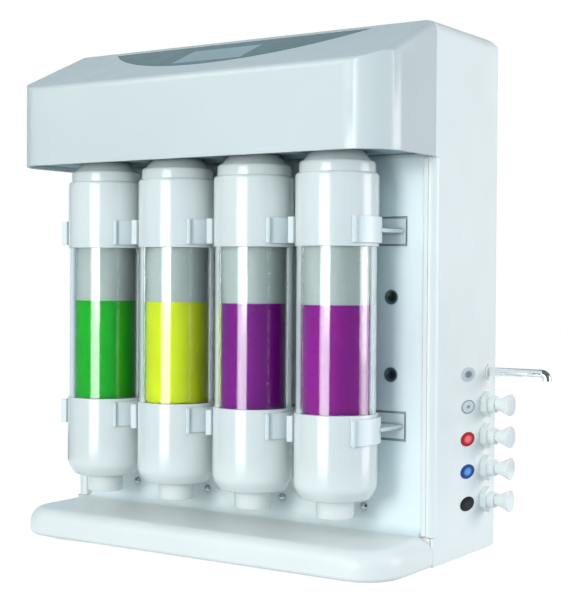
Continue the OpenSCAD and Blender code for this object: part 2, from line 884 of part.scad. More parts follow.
module sleeve(k, tint) {
    color(tint) placed() translate([cart_x(k), cart_y, lower_cap_top_z])
        difference() {
            cylinder(r = core_r + run_gap + sleeve_t, h = sleeve_h);
            translate([0, 0, -cut]) cylinder(r = core_r + run_gap, h = sleeve_h + 2 * cut);
        }
}

module cartridge_1_upper_cap() { upper_cap(0); }
module cartridge_2_upper_cap() { upper_cap(1); }
module cartridge_3_upper_cap() { upper_cap(2); }
module cartridge_4_upper_cap() { upper_cap(3); }
module cartridge_1_tube() { clear_tube(0); }
module cartridge_2_tube() { clear_tube(1); }
module cartridge_3_tube() { clear_tube(2); }
module cartridge_4_tube() { clear_tube(3); }
module cartridge_1_core() { filter_core(0); }
module cartridge_2_core() { filter_core(1); }
module cartridge_3_core() { filter_core(2); }
module cartridge_4_core() { filter_core(3); }
module cartridge_1_sleeve() { sleeve(0, "green"); }
module cartridge_2_sleeve() { sleeve(1, "yellow"); }
module cartridge_3_sleeve() { sleeve(2, "indigo"); }
module cartridge_4_sleeve() { sleeve(3, "purple"); }
module cartridge_1_lower_cap() { lower_cap(0); }
module cartridge_2_lower_cap() { lower_cap(1); }
module cartridge_3_lower_cap() { lower_cap(2); }
module cartridge_4_lower_cap() { lower_cap(3); }

// Snap clips

// Outline of a ring that is open towards the front
module open_ring(inner_r, outer_r, gap_half_a) {
    reach = 3 * outer_r;
    difference() {
        circle(r = outer_r);
        circle(r = inner_r);
        polygon([[0, 0], [-reach * sin(gap_half_a), -reach * cos(gap_half_a)], [0, -2 * reach],
            [reach * sin(gap_half_a), -reach * cos(gap_half_a)]]);
    }
}

module clip_outline() {
    mid_r = clip_in_r + clip_t / 2;
    open_ring(clip_in_r, clip_out_r, clip_open);
    for (side = [0, 1]) mirror([side, 0])
        rotate(clip_open)
            translate([-lip_lap, -clip_out_r - clip_lip]) square([clip_t, clip_lip + clip_t / 2]);
    translate([-clip_stem_w / 2, mid_r]) square([clip_stem_w, clip_plate_y - mid_r + eps]);
    translate([-clip_plate_w / 2, clip_plate_y]) square([clip_plate_w, clip_plate_t]);
}

module clip_rib_outline() {
    mid_r = clip_in_r + clip_t / 2;
    foot_x = clip_plate_w / 2 - clip_rib_in;
    difference() {
        polygon([[-foot_x, clip_plate_y + eps], [-mid_r, clip_in_r / 3],
            [mid_r, clip_in_r / 3], [foot_x, clip_plate_y + eps]]);
        circle(r = mid_r);
    }
}

module snap_clip() {
    translate([0, 0, -clip_h / 2]) linear_extrude(clip_h) clip_outline();
    translate([0, 0, -clip_rib_t / 2]) linear_extrude(clip_rib_t) clip_rib_outline();
}

module cartridge_clips() {
    color("white") placed()
        for (k = [0 : cart_count - 1]) for (z = [upper_clip_z, lower_clip_z])
            translate([cart_x(k), cart_y, z]) snap_clip();
}

// Side fittings

module port_bodies() {
    color("white") placed()
        for (k = [1 : port_count])
            to_right(half_w, port_y, row_z(k))
                difference() {
                    union() {
                        cylinder(d = port_hex_af / cos(30), h = port_hex_t, $fn = 6);
                        cylinder(r = port_collar_r, h = port_out);
                        translate([0, 0, -wall - barrel_in])
                            cylinder(r = barrel_r, h = wall + barrel_in + eps);
                    }
                    translate([0, 0, -plug_stem_l - cut])
                        cylinder(r = port_tube_r + run_gap, h = plug_stem_l + port_out + 2 * cut);
                }
}

module port_nuts() {
    color("white") placed()
        for (k = [1 : port_count])
            to_right(half_w - wall - nut_t, port_y, row_z(k))
                difference() {
                    cylinder(d = nut_af / cos(30), h = nut_t, $fn = 6);
                    translate([0, 0, -cut]) cylinder(r = barrel_r + run_gap, h = nut_t + 2 * cut);
                }
}

// Trumpet-shaped plug on the z axis, with z = 0 at the face of its port
module plug_shape() {
    translate([0, 0, -plug_stem_l]) cylinder(r = port_tube_r, h = plug_stem_l + eps);
    rotate_extrude()
        difference() {
            soft_polygon([[0, 0], [plug_head_r, 0], [plug_head_r, plug_head_l], [0, plug_head_l]],
                [0, 0, plug_edge_r, 0]);
            translate([plug_waist_r + plug_flank_r, 0]) circle(r = plug_flank_r);
        }
}

module plug(k) {
    color("whitesmoke") placed() to_right(port_face, port_y, row_z(k)) plug_shape();
}

module plug_1() { plug(1); }
module plug_2() { plug(2); }
module plug_3() { plug(3); }
module plug_4() { plug(4); }

module oval(length, height) {
    polygon([for (i = [0 : oval_n - 1])
        [length / 2 * cos(i * 360 / oval_n), height / 2 * sin(i * 360 / oval_n)]]);
}

module marker(k, tint) {
    color(tint) placed()
        translate([half_w, marker_y, row_z(k)])
            rotate([90, 0, 90]) linear_extrude(marker_t) oval(marker_l, marker_h);
}

module marker_grey() { marker(0, "silver"); }
module marker_white() { marker(1, "white"); }
module marker_red() { marker(2, "red"); }
module marker_blue() { marker(3, "royalblue"); }
module marker_black() { marker(4, "black"); }

// Solid run of the spout, which may go past both of its ends
module spout_path(r, past) {
    run = spout_reach - spout_bend_r - spout_r;
    inside = wall + spout_barrel_in + past;
    to_right(half_w - inside, spout_y, row_z(0)) cylinder(r = r, h = inside + run);
    translate([half_w + run, spout_y, row_z(0) - spout_bend_r]) {
        rotate([90, 0, 0])
            rotate_extrude(angle = 90) translate([spout_bend_r, 0]) circle(r = r);
        translate([spout_bend_r, 0, -spout_drop - past]) cylinder(r = r, h = spout_drop + past);
    }
}

module spout() {
    color("silver") placed() difference() {
        spout_path(spout_r, 0);
        spout_path(spout_r - spout_wall, cut);
    }
}

module spout_fitting() {
    tail_l = wall + spout_barrel_in - spout_tail_in;
    color("gainsboro") placed() to_right(half_w, spout_y, row_z(0))
        difference() {
            union() {
                cylinder(r = spout_flange_r, h = spout_flange_t);
                translate([0, 0, -tail_l]) cylinder(r = spout_barrel_r, h = tail_l + eps);
                translate([0, 0, -wall - nut_t]) cylinder(r = spout_nut_r, h = nut_t, $fn = 6);
            }
            translate([0, 0, -tail_l - cut])
                cylinder(r = spout_r + run_gap, h = tail_l + spout_flange_t + 2 * cut);
        }
}

// Power entry

module on_hatch() {
    translate([entry_x, casing_d, entry_z]) children();
}

module inlet_outline() {
    w = inlet_w / 2;
    h = inlet_h / 2;
    polygon([[-w, -h], [w, -h], [w, h - inlet_key], [w - inlet_key, h],
        [inlet_key - w, h], [-w, h - inlet_key]]);
}

module power_entry() {
    room_w = rocker_w + 2 * rocker_gap;
    room_r = rocker_r + rocker_gap;
    pivot_hole_l = rocker_w + 2 * (pivot_l + pivot_room);
    color("dimgray") placed() on_hatch() {
        difference() {
            union() {
                translate([-entry_w / 2, 0, -entry_h / 2]) cube([entry_w, entry_flange_t, entry_h]);
                translate([-entry_body_w / 2, -entry_depth, -entry_body_h / 2])
                    cube([entry_body_w, entry_depth + eps, entry_body_h]);
            }
            translate([0, entry_flange_t + cut, inlet_dz])
                rotate([90, 0, 0]) linear_extrude(inlet_deep + cut) inlet_outline();
            translate([-room_w / 2, -rocker_sink - rocker_back - rocker_room, rocker_dz - room_r])
                cube([room_w, entry_depth, 2 * room_r]);
            to_right(-pivot_hole_l / 2, -rocker_sink, rocker_dz)
                cylinder(r = pivot_r + run_gap, h = pivot_hole_l);
        }
        for (at = [[-blade_dx, blade_dz], [blade_dx, blade_dz], [0, earth_dz]])
            translate([at[0] - blade_t / 2, entry_flange_t - inlet_deep - eps,
                inlet_dz + at[1] - blade_h / 2])
                cube([blade_t, blade_l, blade_h]);
    }
}

module switch_rocker() {
    face_y = rocker_r * sin(rocker_face_a);
    face_z = rocker_r * cos(rocker_face_a);
    color("black") placed() on_hatch()
        translate([0, -rocker_sink, rocker_dz])
            rotate([rocker_tilt, 0, 0]) {
                along_x(rocker_w)
                    intersection() {
                        circle(r = rocker_r);
                        polygon([[-rocker_back, -rocker_r], [face_y, -rocker_r], [face_y, -face_z],
                            [face_y - rocker_dip, 0], [face_y, face_z], [face_y, rocker_r],
                            [-rocker_back, rocker_r]]);
                    }
                to_right(-rocker_w / 2 - pivot_l, 0, 0) cylinder(r = pivot_r, h = rocker_w + 2 * pivot_l);
            }
}

// Inside the casing

module membrane_vessel() {
    color("white") placed() translate([vessel_x, vessel_y, vessel_z])
        rotate_extrude()
            soft_polygon([[0, 0], [vessel_r, 0], [vessel_r, vessel_l], [0, vessel_l]],
                [0, vessel_foot_r, 0, 0]);
}

module membrane_cap() {
    color("ivory") placed() translate([vessel_x, vessel_y, vessel_z + vessel_l]) {
        cylinder(r = vessel_cap_r, h = vessel_cap_h - 2 * vessel_cap_step);
        cylinder(r = vessel_cap_r - 2 * vessel_cap_step, h = vessel_cap_h - vessel_cap_step);
        cylinder(r = tail_r, h = vessel_cap_h);
    }
}

module membrane_clips() {
    inner_r = vessel_r + run_gap;
    mid_r = inner_r + vessel_clip_t / 2;
    plate_y = panel_back - vessel_y;
    color("white") placed()
        for (share = [0.25, 0.75])
            translate([vessel_x, vessel_y, vessel_z + share * vessel_l - vessel_clip_h / 2])
                linear_extrude(vessel_clip_h) {
                    rotate(180) open_ring(inner_r, inner_r + vessel_clip_t, vessel_clip_open);
                    translate([-vessel_stem_w / 2, plate_y]) square([vessel_stem_w, -mid_r - plate_y]);
                }
}

module pump_motor() {
    color("silver") placed() difference() {
        union() {
            to_right(pump_x - motor_l, pump_y, pump_z) {
                cylinder(r = motor_r, h = motor_l);
                translate([0, 0, -motor_boss_l]) cylinder(r = motor_r / 3, h = motor_boss_l + cut);
            }
            translate([motor_foot_x, pump_y - motor_foot_w / 2, base_t])
                cube([motor_foot_l, motor_foot_w, motor_foot_t]);
            for (side = [-1, 1])
                translate([motor_foot_x, pump_y + side * motor_foot_w / 4 - motor_web_t / 2, base_t])
                    cube([motor_foot_l, motor_web_t, pump_z - base_t - motor_r / 2]);
        }
        for (share = [0.2, 0.8])
            translate([motor_foot_x + share * motor_foot_l, pump_y, base_t - cut])
                cylinder(r = motor_hole_r, h = motor_foot_t + 2 * cut);
    }
}

module pump_head() {
    body_l = pump_l - pump_neck_l - pump_cover_l;
    color("dimgray") placed() {
        to_right(pump_x, pump_y, pump_z) {
            cylinder(r = motor_r - pump_step, h = pump_neck_l + eps);
            translate([0, 0, pump_neck_l]) cylinder(r = pump_r, h = body_l, $fn = 8);
            translate([0, 0, pump_neck_l + body_l - eps])
                cylinder(r = pump_r - pump_step, h = pump_cover_l);
        }
        translate([pump_x + pump_l / 2, pump_y, pump_z]) cylinder(r = tail_r, h = pump_r + pump_port_l);
    }
}

module power_supply() {
    slot_h = supply_h - 2 * supply_slot_end;
    color("silver") placed() translate([supply_x, panel_back, supply_z]) difference() {
        translate([-supply_w / 2, 0, 0]) cube([supply_w, supply_d, supply_h]);
        for (k = [0 : supply_slot_n - 1])
            translate([(k - (supply_slot_n - 1) / 2) * supply_slot_pitch - supply_slot_w / 2,
                supply_d - supply_slot_deep, supply_slot_end])
                cube([supply_slot_w, supply_slot_deep + cut, slot_h]);
    }
}

module valve_block() {
    color("ivory") placed() {
        translate([block_x - block_w / 2, port_y - block_d / 2, base_t]) cube([block_w, block_d, block_h]);
        to_right(block_x - block_w / 2 - coil_l, port_y, row_z(1)) cylinder(r = coil_r, h = coil_l + eps);
        to_right(block_x - block_w / 2 - coil_l, port_y, row_z(3)) cylinder(r = coil_r, h = coil_l + eps);
    }
}

module conductivity_probe() {
    color("gray") placed() translate([probe_x, port_y, base_t + block_h]) {
        cylinder(r = probe_r, h = probe_h);
        cylinder(r = tail_r, h = probe_h + probe_neck_l);
    }
}

// Quarter bend of tubing in the x and y plane, from heading +y to heading +x
module hose_bend(angle0) {
    rotate([0, 0, angle0]) rotate_extrude(angle = 90) translate([hose_bend_r, 0]) circle(r = hose_r);
}

module link_hose(x0, x1) {
    y0 = cart_y + tail_l;
    turn_y = y0 + hose_bend_r + link_hose_l;
    for (x = [x0, x1]) to_rear(x, y0, tail_z) cylinder(r = hose_r, h = turn_y - hose_bend_r - y0 + eps);
    translate([x0 + hose_bend_r, turn_y - hose_bend_r, tail_z]) hose_bend(90);
    translate([x1 - hose_bend_r, turn_y - hose_bend_r, tail_z]) hose_bend(0);
    to_right(x0 + hose_bend_r - eps, turn_y, tail_z)
        cylinder(r = hose_r, h = x1 - x0 - 2 * hose_bend_r + 2 * eps);
}

module probe_hose() {
    y0 = cart_y + tail_l;
    foot_z = base_t + block_h + probe_h + probe_neck_l;
    to_rear(probe_x, y0, tail_z) cylinder(r = hose_r, h = port_y - hose_bend_r - y0 + eps);
    translate([probe_x, port_y - hose_bend_r, tail_z - hose_bend_r])
        rotate([90, 0, 90]) hose_bend(0);
    translate([probe_x, port_y, foot_z]) cylinder(r = hose_r, h = tail_z - hose_bend_r - foot_z + eps);
}

module pump_hose() {
    x1 = pump_x + pump_l / 2;
    z0 = pump_z + pump_r + pump_port_l;
    turn_z = vessel_top_z + hose_bend_r + pump_hose_l;
    translate([vessel_x, pump_y, vessel_top_z])
        cylinder(r = hose_r, h = turn_z - hose_bend_r - vessel_top_z + eps);
    translate([x1, pump_y, z0]) cylinder(r = hose_r, h = turn_z - hose_bend_r - z0 + eps);
    translate([vessel_x + hose_bend_r, pump_y, turn_z - hose_bend_r]) rotate([90, 0, 0]) hose_bend(90);
    translate([x1 - hose_bend_r, pump_y, turn_z - hose_bend_r]) rotate([90, 0, 0]) hose_bend(0);
    to_right(vessel_x + hose_bend_r - eps, pump_y, turn_z)
        cylinder(r = hose_r, h = x1 - vessel_x - 2 * hose_bend_r + 2 * eps);
}

module inner_tubing() {
    color("steelblue") placed() {
        for (k = [0 : cart_count - 2]) link_hose(cart_x(k) + tail_dx, cart_x(k + 1) - tail_dx);
        probe_hose();
        pump_hose();
        for (k = [1 : port_count])
            to_right(block_x + block_w / 2, port_y, row_z(k))
                cylinder(r = hose_r, h = half_w - wall - barrel_in - block_x - block_w / 2);
    }
}

rear_casing();
back_hatch();
hatch_screws();
base_tray();
feet();
front_panel();
dome_screws();
black_screws();
head_cover();
head_underside();
head_sockets();
control_lens();
display_window();
control_board();
cartridge_clips();
cartridge_1_upper_cap();
cartridge_1_tube();
cartridge_1_core();
cartridge_1_sleeve();
cartridge_1_lower_cap();
cartridge_2_upper_cap();
cartridge_2_tube();
cartridge_2_core();
cartridge_2_sleeve();
cartridge_2_lower_cap();
cartridge_3_upper_cap();
cartridge_3_tube();
cartridge_3_core();
cartridge_3_sleeve();
cartridge_3_lower_cap();
cartridge_4_upper_cap();
cartridge_4_tube();
cartridge_4_core();
cartridge_4_sleeve();
cartridge_4_lower_cap();
spout();
spout_fitting();
port_bodies();
port_nuts();
plug_1();
plug_2();
plug_3();
plug_4();
marker_grey();
marker_white();
marker_red();
marker_blue();
marker_black();
power_entry();
switch_rocker();
membrane_vessel();
membrane_cap();
membrane_clips();
pump_motor();
pump_head();
power_supply();
valve_block();
conductivity_probe();
inner_tubing();
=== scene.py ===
"""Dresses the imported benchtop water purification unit: softened housing shells, turned
cartridges with clear tubes, side fittings, procedural finishes and a pale studio stage."""

import json
import math

import bmesh
import bpy
from bmesh.types import BMEdge, BMVert
from mathutils import Matrix, Vector
from mathutils.bvhtree import BVHTree

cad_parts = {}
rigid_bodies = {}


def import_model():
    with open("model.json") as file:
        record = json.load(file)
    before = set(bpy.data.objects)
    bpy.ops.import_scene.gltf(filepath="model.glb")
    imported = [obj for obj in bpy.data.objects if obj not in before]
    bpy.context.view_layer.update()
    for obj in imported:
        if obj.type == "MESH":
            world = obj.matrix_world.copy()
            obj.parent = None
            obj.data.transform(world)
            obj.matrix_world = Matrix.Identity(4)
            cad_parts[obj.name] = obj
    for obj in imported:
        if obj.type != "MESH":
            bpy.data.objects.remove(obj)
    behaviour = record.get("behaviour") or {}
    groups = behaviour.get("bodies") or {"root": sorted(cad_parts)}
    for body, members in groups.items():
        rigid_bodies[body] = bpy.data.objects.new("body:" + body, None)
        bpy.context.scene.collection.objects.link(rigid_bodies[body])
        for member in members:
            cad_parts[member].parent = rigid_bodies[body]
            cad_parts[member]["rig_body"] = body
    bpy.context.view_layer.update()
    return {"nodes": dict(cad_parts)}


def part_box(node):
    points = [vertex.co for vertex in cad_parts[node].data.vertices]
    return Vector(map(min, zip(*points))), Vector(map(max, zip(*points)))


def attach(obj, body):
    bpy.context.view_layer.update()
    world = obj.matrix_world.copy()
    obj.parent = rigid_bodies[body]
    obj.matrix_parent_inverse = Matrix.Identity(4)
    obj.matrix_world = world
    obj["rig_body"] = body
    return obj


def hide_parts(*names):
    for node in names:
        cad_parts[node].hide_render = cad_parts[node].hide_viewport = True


bl_info = {
    "name": "Benchtop Water Purification Unit",
    "version": (1, 0, 0),
    "blender": (4, 5, 0),
    "location": "View3D > Sidebar > Water Unit",
    "description": "Builds the visible pieces of a benchtop water purification unit round its CAD frame",
    "category": "Object",
}

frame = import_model()

MM = 0.001
AXIS_Y = Vector((0, 1, 0))
AXIS_Z = Vector((0, 0, 1))
QUARTER_TURN = math.radians(90)

# Distances below which points count as one: on a known line, in a turned shape, in a CAD mesh
NEAR = 0.01 * MM
MERGE = 0.001 * MM
CAD_MERGE = 0.002 * MM

# Angles between faces: below the first they are joined, above the others rounded or shaded as an edge
FLAT_ANGLE = math.radians(0.4)
EDGE_ANGLE = math.radians(35)
SMOOTH_ANGLE = math.radians(40)

# Room between turned pieces that fit into one another
FIT = 0.05 * MM

# Share of a cap's shoulder that its rounding takes up, which keeps it clear of the cone
SHOULDER_SHARE = 0.95

# Steps round turned pieces and along curves
TURN_STEPS = 96
TUBE_STEPS = 128
PLUG_STEPS = 64
FLARE_STEPS = 9
GROOVE_STEPS = 8
COVE_STEPS = 8
SPOUT_SIDES = 48
BEND_STEPS = 16
FLOOR_SIDES = 128
BACKDROP_SUBDIVISIONS = 4

# Range that holds most of a noise texture's values
NOISE_LOW = 0.3
NOISE_HIGH = 0.7

# Rays that find the painted shade in grooves and corners
SHADING_SAMPLES = 8

# Width of the camera's sensor in millimetres
SENSOR_WIDTH = 36

# Ending of the finishes' names, which sets them apart from the frame's own plain materials
FINISH = "_finish"

CARTRIDGES = (1, 2, 3, 4)
SLEEVE_TINTS = {1: "green", 2: "lime", 3: "violet", 4: "purple"}
PORTS = (1, 2, 3, 4)
MARKERS = ("grey", "white", "red", "blue", "black")

# Shares of a marker's half width, from the middle out, at which its core or its rim colour stands
SHADED_BANDS = ((0, "core"), (0.35, "core"), (0.65, "rim"), (1, "rim"))
RINGED_BANDS = (
    (0, "rim"),
    (0.12, "rim"),
    (0.34, "core"),
    (0.78, "core"),
    (0.85, "rim"),
    (0.91, "rim"),
    (1, "core"),
)

# CAD nodes inside the casing, which keep their own meshes, with the finish each one takes
INNER_FINISHES = {
    "head_sockets": "fitting_white",
    "control_board": "board_green",
    "port_nuts": "fitting_white",
    "membrane_vessel": "vessel_white",
    "membrane_cap": "vessel_white",
    "membrane_clips": "clip_white",
    "pump_motor": "pump_metal",
    "pump_head": "pump_black",
    "power_supply": "supply_metal",
    "valve_block": "fitting_white",
    "conductivity_probe": "pump_black",
    "inner_tubing": "tubing_blue",
}


# Sizes read from the frame


def half_width(node):
    """Half of a node's width across x."""
    low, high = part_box(node)
    return (high.x - low.x) / 2


def half_height(node):
    """Half of a node's height."""
    low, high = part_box(node)
    return (high.z - low.z) / 2


def middle(node):
    """Middle of a node's box."""
    low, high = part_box(node)
    return (low + high) / 2


# Settings that a user may change


def length_setting(name, description, default):
    """A length in metres."""
    return bpy.props.FloatProperty(
        name=name,
        description=description,
        default=default,
        min=0,
        unit="LENGTH",
        precision=5,
    )


def angle_setting(name, description, degrees):
    """An angle, given in degrees and kept in radians."""
    return bpy.props.FloatProperty(
        name=name, description=description, default=math.radians(degrees), subtype="ANGLE"
    )


def strength_setting(name, description, default):
    """A plain positive number."""
    return bpy.props.FloatProperty(name=name, description=description, default=default, min=0)


def colour_setting(name, description, default):
    """A linear colour."""
    return bpy.props.FloatVectorProperty(
        name=name,
        description=description,
        default=default,
        min=0,
        max=1,
        size=3,
        subtype="COLOR",
    )


class HousingSettings(bpy.types.PropertyGroup):
    """Edges and colours of the casing, head, tray, panel and clips."""

    shell_edge: length_setting("Shell Edge", "Rounding of the moulded shells' edges", 0.8 * MM)
    seam_edge: length_setting("Seam Edge", "Rounding along the seam of head and casing", 1.3 * MM)
    plate_edge: length_setting("Plate Edge", "Rounding of thin plates' edges", 0.3 * MM)
    clip_edge: length_setting("Clip Edge", "Rounding of the snap clips' edges", 0.4 * MM)
    cove: length_setting("Cove", "Radius of the cove between the tray and the front panel", 9 * MM)
    shell_white: colour_setting("Shell White", "Rear casing", (0.905, 0.92, 0.895))
    # The head's white is the casing's plastic painted darker: painted shade on the head cover
    head_white: colour_setting("Head White", "Head cover", (0.695, 0.73, 0.72))
    tray_white: colour_setting("Tray White", "Base tray", (0.89, 0.89, 0.87))
    panel_white: colour_setting("Panel White", "Panel behind the cartridges", (0.89, 0.97, 0.98))
    # The plate under the head is white plastic painted dark grey: painted shade under the head
    underside_grey: colour_setting("Underside Grey", "Plate under the head", (0.40, 0.52, 0.56))
    hatch_grey: colour_setting("Hatch Grey", "Sheet metal of the rear hatch", (0.62, 0.66, 0.68))
    lens_teal: colour_setting("Lens Teal", "Dark lens on the sloped face", (0.05, 0.125, 0.13))
    window_teal: colour_setting("Window Teal", "Display window", (0.31, 0.42, 0.44))
    clip_white: colour_setting("Clip White", "Snap clips", (0.83, 0.88, 0.885))


class CartridgeSettings(bpy.types.PropertyGroup):
    """Turned shapes and colours of the filter cartridges."""

    cap_radius: length_setting(
        "Cap Radius", "Radius of the white caps", half_width("cartridge_1_upper_cap")
    )
    tube_radius: length_setting(
        "Tube Radius", "Radius of the clear tube", half_width("cartridge_1_tube")
    )
    tube_wall: length_setting("Tube Wall", "Wall of the clear tube", 4.6 * MM)
    upper_wall: length_setting("Upper Wall", "Height of the upper cap's plain wall", 62 * MM)
    ring_radius: length_setting("Ring Radius", "Radius of the ring on the upper cap", 32.5 * MM)
    ring_height: length_setting("Ring Height", "Height of the ring on the upper cap", 10 * MM)
    cone_height: length_setting("Cone Height", "Height of the cone above the ring", 11 * MM)
    cone_top: length_setting("Cone Top", "Radius at the top of the cone", 20 * MM)
    spigot_radius: length_setting("Spigot Radius", "Radius of the spigot in the head", 14 * MM)
    groove: length_setting("Groove", "Depth of the seal's groove round the spigot", 1.1 * MM)
    taper_height: length_setting("Taper Height", "Height of the lower cap's taper", 9.5 * MM)
    taper_radius: length_setting("Taper Radius", "Radius at the foot of the taper", 29.5 * MM)
    neck_height: length_setting("Neck Height", "Height of the neck under the lower cap", 16.5 * MM)
    neck_radius: length_setting("Neck Radius", "Radius of the neck's foot", 16 * MM)
    neck_draft: length_setting("Neck Draft", "Widening of the neck up to its root", 0.5 * MM)
    cap_edge: length_setting("Cap Edge", "Rounding of the caps' shoulders", 3 * MM)
    fine_edge: length_setting("Fine Edge", "Rounding of small turned edges", 0.6 * MM)
    cap_white: colour_setting("Cap White", "Caps of the cartridges", (0.80, 0.825, 0.81))
    tube_clear: colour_setting("Tube Clear", "Clear tube", (0.95, 0.985, 0.99))
    media_grey: colour_setting("Media Grey", "Packed filter media", (0.43, 0.475, 0.45))
    green: colour_setting("Green Sleeve", "Sleeve of cartridge 1", (0.005, 0.39, 0.012))
    lime: colour_setting("Lime Sleeve", "Sleeve of cartridge 2", (0.62, 0.71, 0.009))
    violet: colour_setting("Violet Sleeve", "Sleeve of cartridge 3", (0.19, 0.001, 0.21))
    purple: colour_setting("Purple Sleeve", "Sleeve of cartridge 4", (0.255, 0.002, 0.24))


class FittingSettings(bpy.types.PropertyGroup):
    """Side fittings, fasteners, power entry, feet and their colours."""

    port_edge: length_setting("Port Edge", "Rounding of the side ports' edges", 0.5 * MM)
    plug_waist: length_setting("Plug Waist", "Radius of a plug's waist", 5.05 * MM)
    plug_head: length_setting("Plug Head", "Radius of a plug's flared head", half_height("plug_1"))
    plug_length: length_setting("Plug Length", "Length of a plug's flared head", 14 * MM)
    plug_flare: strength_setting("Plug Flare", "Power by which a plug's head opens", 1.4)
    plug_rim: length_setting("Plug Rim", "Rounding of a plug's rim", 1.6 * MM)
    plug_stem: length_setting("Plug Stem", "Radius of a plug's stem", 4.75 * MM)
    plug_tip: length_setting("Plug Tip", "Rounding at the end of a plug's stem", 0.5 * MM)
    spout_radius: length_setting("Spout Radius", "Outer radius of the spout's tube", 4 * MM)
    spout_wall: length_setting("Spout Wall", "Wall of the spout's tube", 1 * MM)
    spout_bend: length_setting("Spout Bend", "Bend radius at the spout's tip", 5 * MM)
    collar_edge: length_setting("Collar Edge", "Rounding of the spout fitting's edges", 0.3 * MM)
    marker_edge: length_setting("Marker Edge", "Rounding of the markers' edges", 0.25 * MM)
    screw_edge: length_setting("Screw Edge", "Rounding of the panel screws' edges", 0.15 * MM)
    hatch_screw_edge: length_setting("Hatch Screw Edge", "Rounding of the hatch screws' edges", 0.2 * MM)
    entry_edge: length_setting("Entry Edge", "Rounding of the power entry and its switch", 0.4 * MM)
    foot_edge: length_setting("Foot Edge", "Rounding of the feet", 0.3 * MM)
    port_white: colour_setting("Port White", "Side ports and plugs", (0.90, 0.915, 0.895))
    chrome: colour_setting("Chrome", "Spout", (0.93, 0.94, 0.95))
    steel: colour_setting("Steel", "Bright screws", (0.62, 0.66, 0.69))
    black: colour_setting("Black", "Screws, power entry, switch and marker", (0.016, 0.019, 0.021))
    # Dark teal at the screws' front faces that turns black deeper in their dishes: painted shade in the
    # recesses
    screw_shade_teal: colour_setting("Screw Teal", "Rims of the panel's dished screws", (0.07, 0.14, 0.165))
    rubber: colour_setting("Rubber", "Feet", (0.06, 0.062, 0.065))
    grey: colour_setting("Grey Marker", "Marker beside the spout", (0.22, 0.24, 0.25))
    grey_rim: colour_setting("Grey Rim", "Edge of the grey marker", (0.60, 0.64, 0.66))
    white: colour_setting("White Marker", "Marker of the first port", (0.68, 0.73, 0.75))
    white_rim: colour_setting("White Rim", "Printed ring of the white marker", (0.26, 0.28, 0.29))
    red: colour_setting("Red Marker", "Marker of the second port", (1.0, 0.19, 0.20))
    red_rim: colour_setting("Red Rim", "Edge of the red marker", (0.48, 0.012, 0.028))
    blue: colour_setting("Blue Marker", "Marker of the third port", (0.15, 0.36, 0.76))
    blue_rim: colour_setting("Blue Rim", "Edge of the blue marker", (0.012, 0.06, 0.30))
    black_rim: colour_setting("Black Rim", "Edge of the black marker", (0.008, 0.009, 0.010))


class InnerSettings(bpy.types.PropertyGroup):
    """Colours of the works inside the casing."""

    vessel_white: colour_setting("Vessel White", "Membrane vessel and its cap", (0.78, 0.79, 0.76))
    board_green: colour_setting("Board Green", "Control board", (0.02, 0.16, 0.06))
    pump_metal: colour_setting("Pump Metal", "Pump motor", (0.55, 0.56, 0.58))
    supply_metal: colour_setting("Supply Metal", "Case of the power supply", (0.62, 0.63, 0.64))
    tubing_blue: colour_setting("Tubing Blue", "Inner tubing", (0.05, 0.20, 0.50))


class StageSettings(bpy.types.PropertyGroup):
    """Camera, lights, floor and backdrop."""

    camera_place: bpy.props.FloatVectorProperty(
        name="Camera Place",
        description="Place of the camera",
        default=(0.69294, -1.039124, 0.24806),
        size=3,
        subtype="TRANSLATION",
    )
    camera_turn: angle_setting("Camera Turn", "Angle of the view to the unit's front", 33.48)
    camera_dip: angle_setting("Camera Dip", "Angle of the view below the horizon", 1.03)
    camera_roll: angle_setting("Camera Roll", "Turn of the picture", 0.35)
    lens: bpy.props.FloatProperty(
        name="Lens",
        description="Focal length of the camera",
        default=81.37,
        min=1,
        subtype="DISTANCE_CAMERA",
    )
    floor_radius: length_setting("Floor Radius", "Radius of the round floor", 0.62)
    floor_glow: strength_setting("Floor Glow", "Light that the floor gives off itself", 0.66)
    backdrop_radius: length_setting("Backdrop Radius", "Radius of the backdrop", 6.0)
    backdrop_glow: strength_setting("Backdrop Glow", "Brightness of the backdrop", 1.0)
    fill_strength: strength_setting("Fill Strength", "Brightness of the soft light all round", 0.5)
    floor_pale: colour_setting("Floor Pale", "Floor", (0.90, 0.88, 0.86))
    backdrop_pale: colour_setting("Backdrop Pale", "Backdrop", (1.0, 1.0, 1.0))
    fill_blue: colour_setting("Fill Blue", "Soft light from all round", (0.69, 0.88, 0.98))
    key_white: colour_setting("Key White", "Light from the front", (1.0, 1.0, 0.985))
    side_white: colour_setting("Side White", "Light from the right", (1.0, 0.955, 0.975))


class WaterUnitSettings(bpy.types.PropertyGroup):
    """All settings of the unit."""

    housing: bpy.props.PointerProperty(
        name="Housing", description="Shells and plates", type=HousingSettings
    )
    cartridge: bpy.props.PointerProperty(
        name="Cartridges", description="Filter cartridges", type=CartridgeSettings
    )
    fitting: bpy.props.PointerProperty(
        name="Fittings", description="Ports, spout, markers and screws", type=FittingSettings
    )
    inner: bpy.props.PointerProperty(
        name="Inner Works", description="Works inside the casing", type=InnerSettings
    )
    stage: bpy.props.PointerProperty(
        name="Stage", description="Camera, lights and floor", type=StageSettings
    )


# Patterns and finishes


def new_material(name):
    """An empty node material with its shader, linked to the output."""
    material = bpy.data.materials.new(name + FINISH)
    material.use_nodes = True
    nodes = material.node_tree.nodes
    nodes.clear()
    output = nodes.new("ShaderNodeOutputMaterial")
    shader = nodes.new("ShaderNodeBsdfPrincipled")
    material.node_tree.links.new(shader.outputs["BSDF"], output.inputs["Surface"])
    return material, shader


def shader_of(material):
    """The shader of a finish that is made already."""
    return next(node for node in material.node_tree.nodes if node.type == "BSDF_PRINCIPLED")


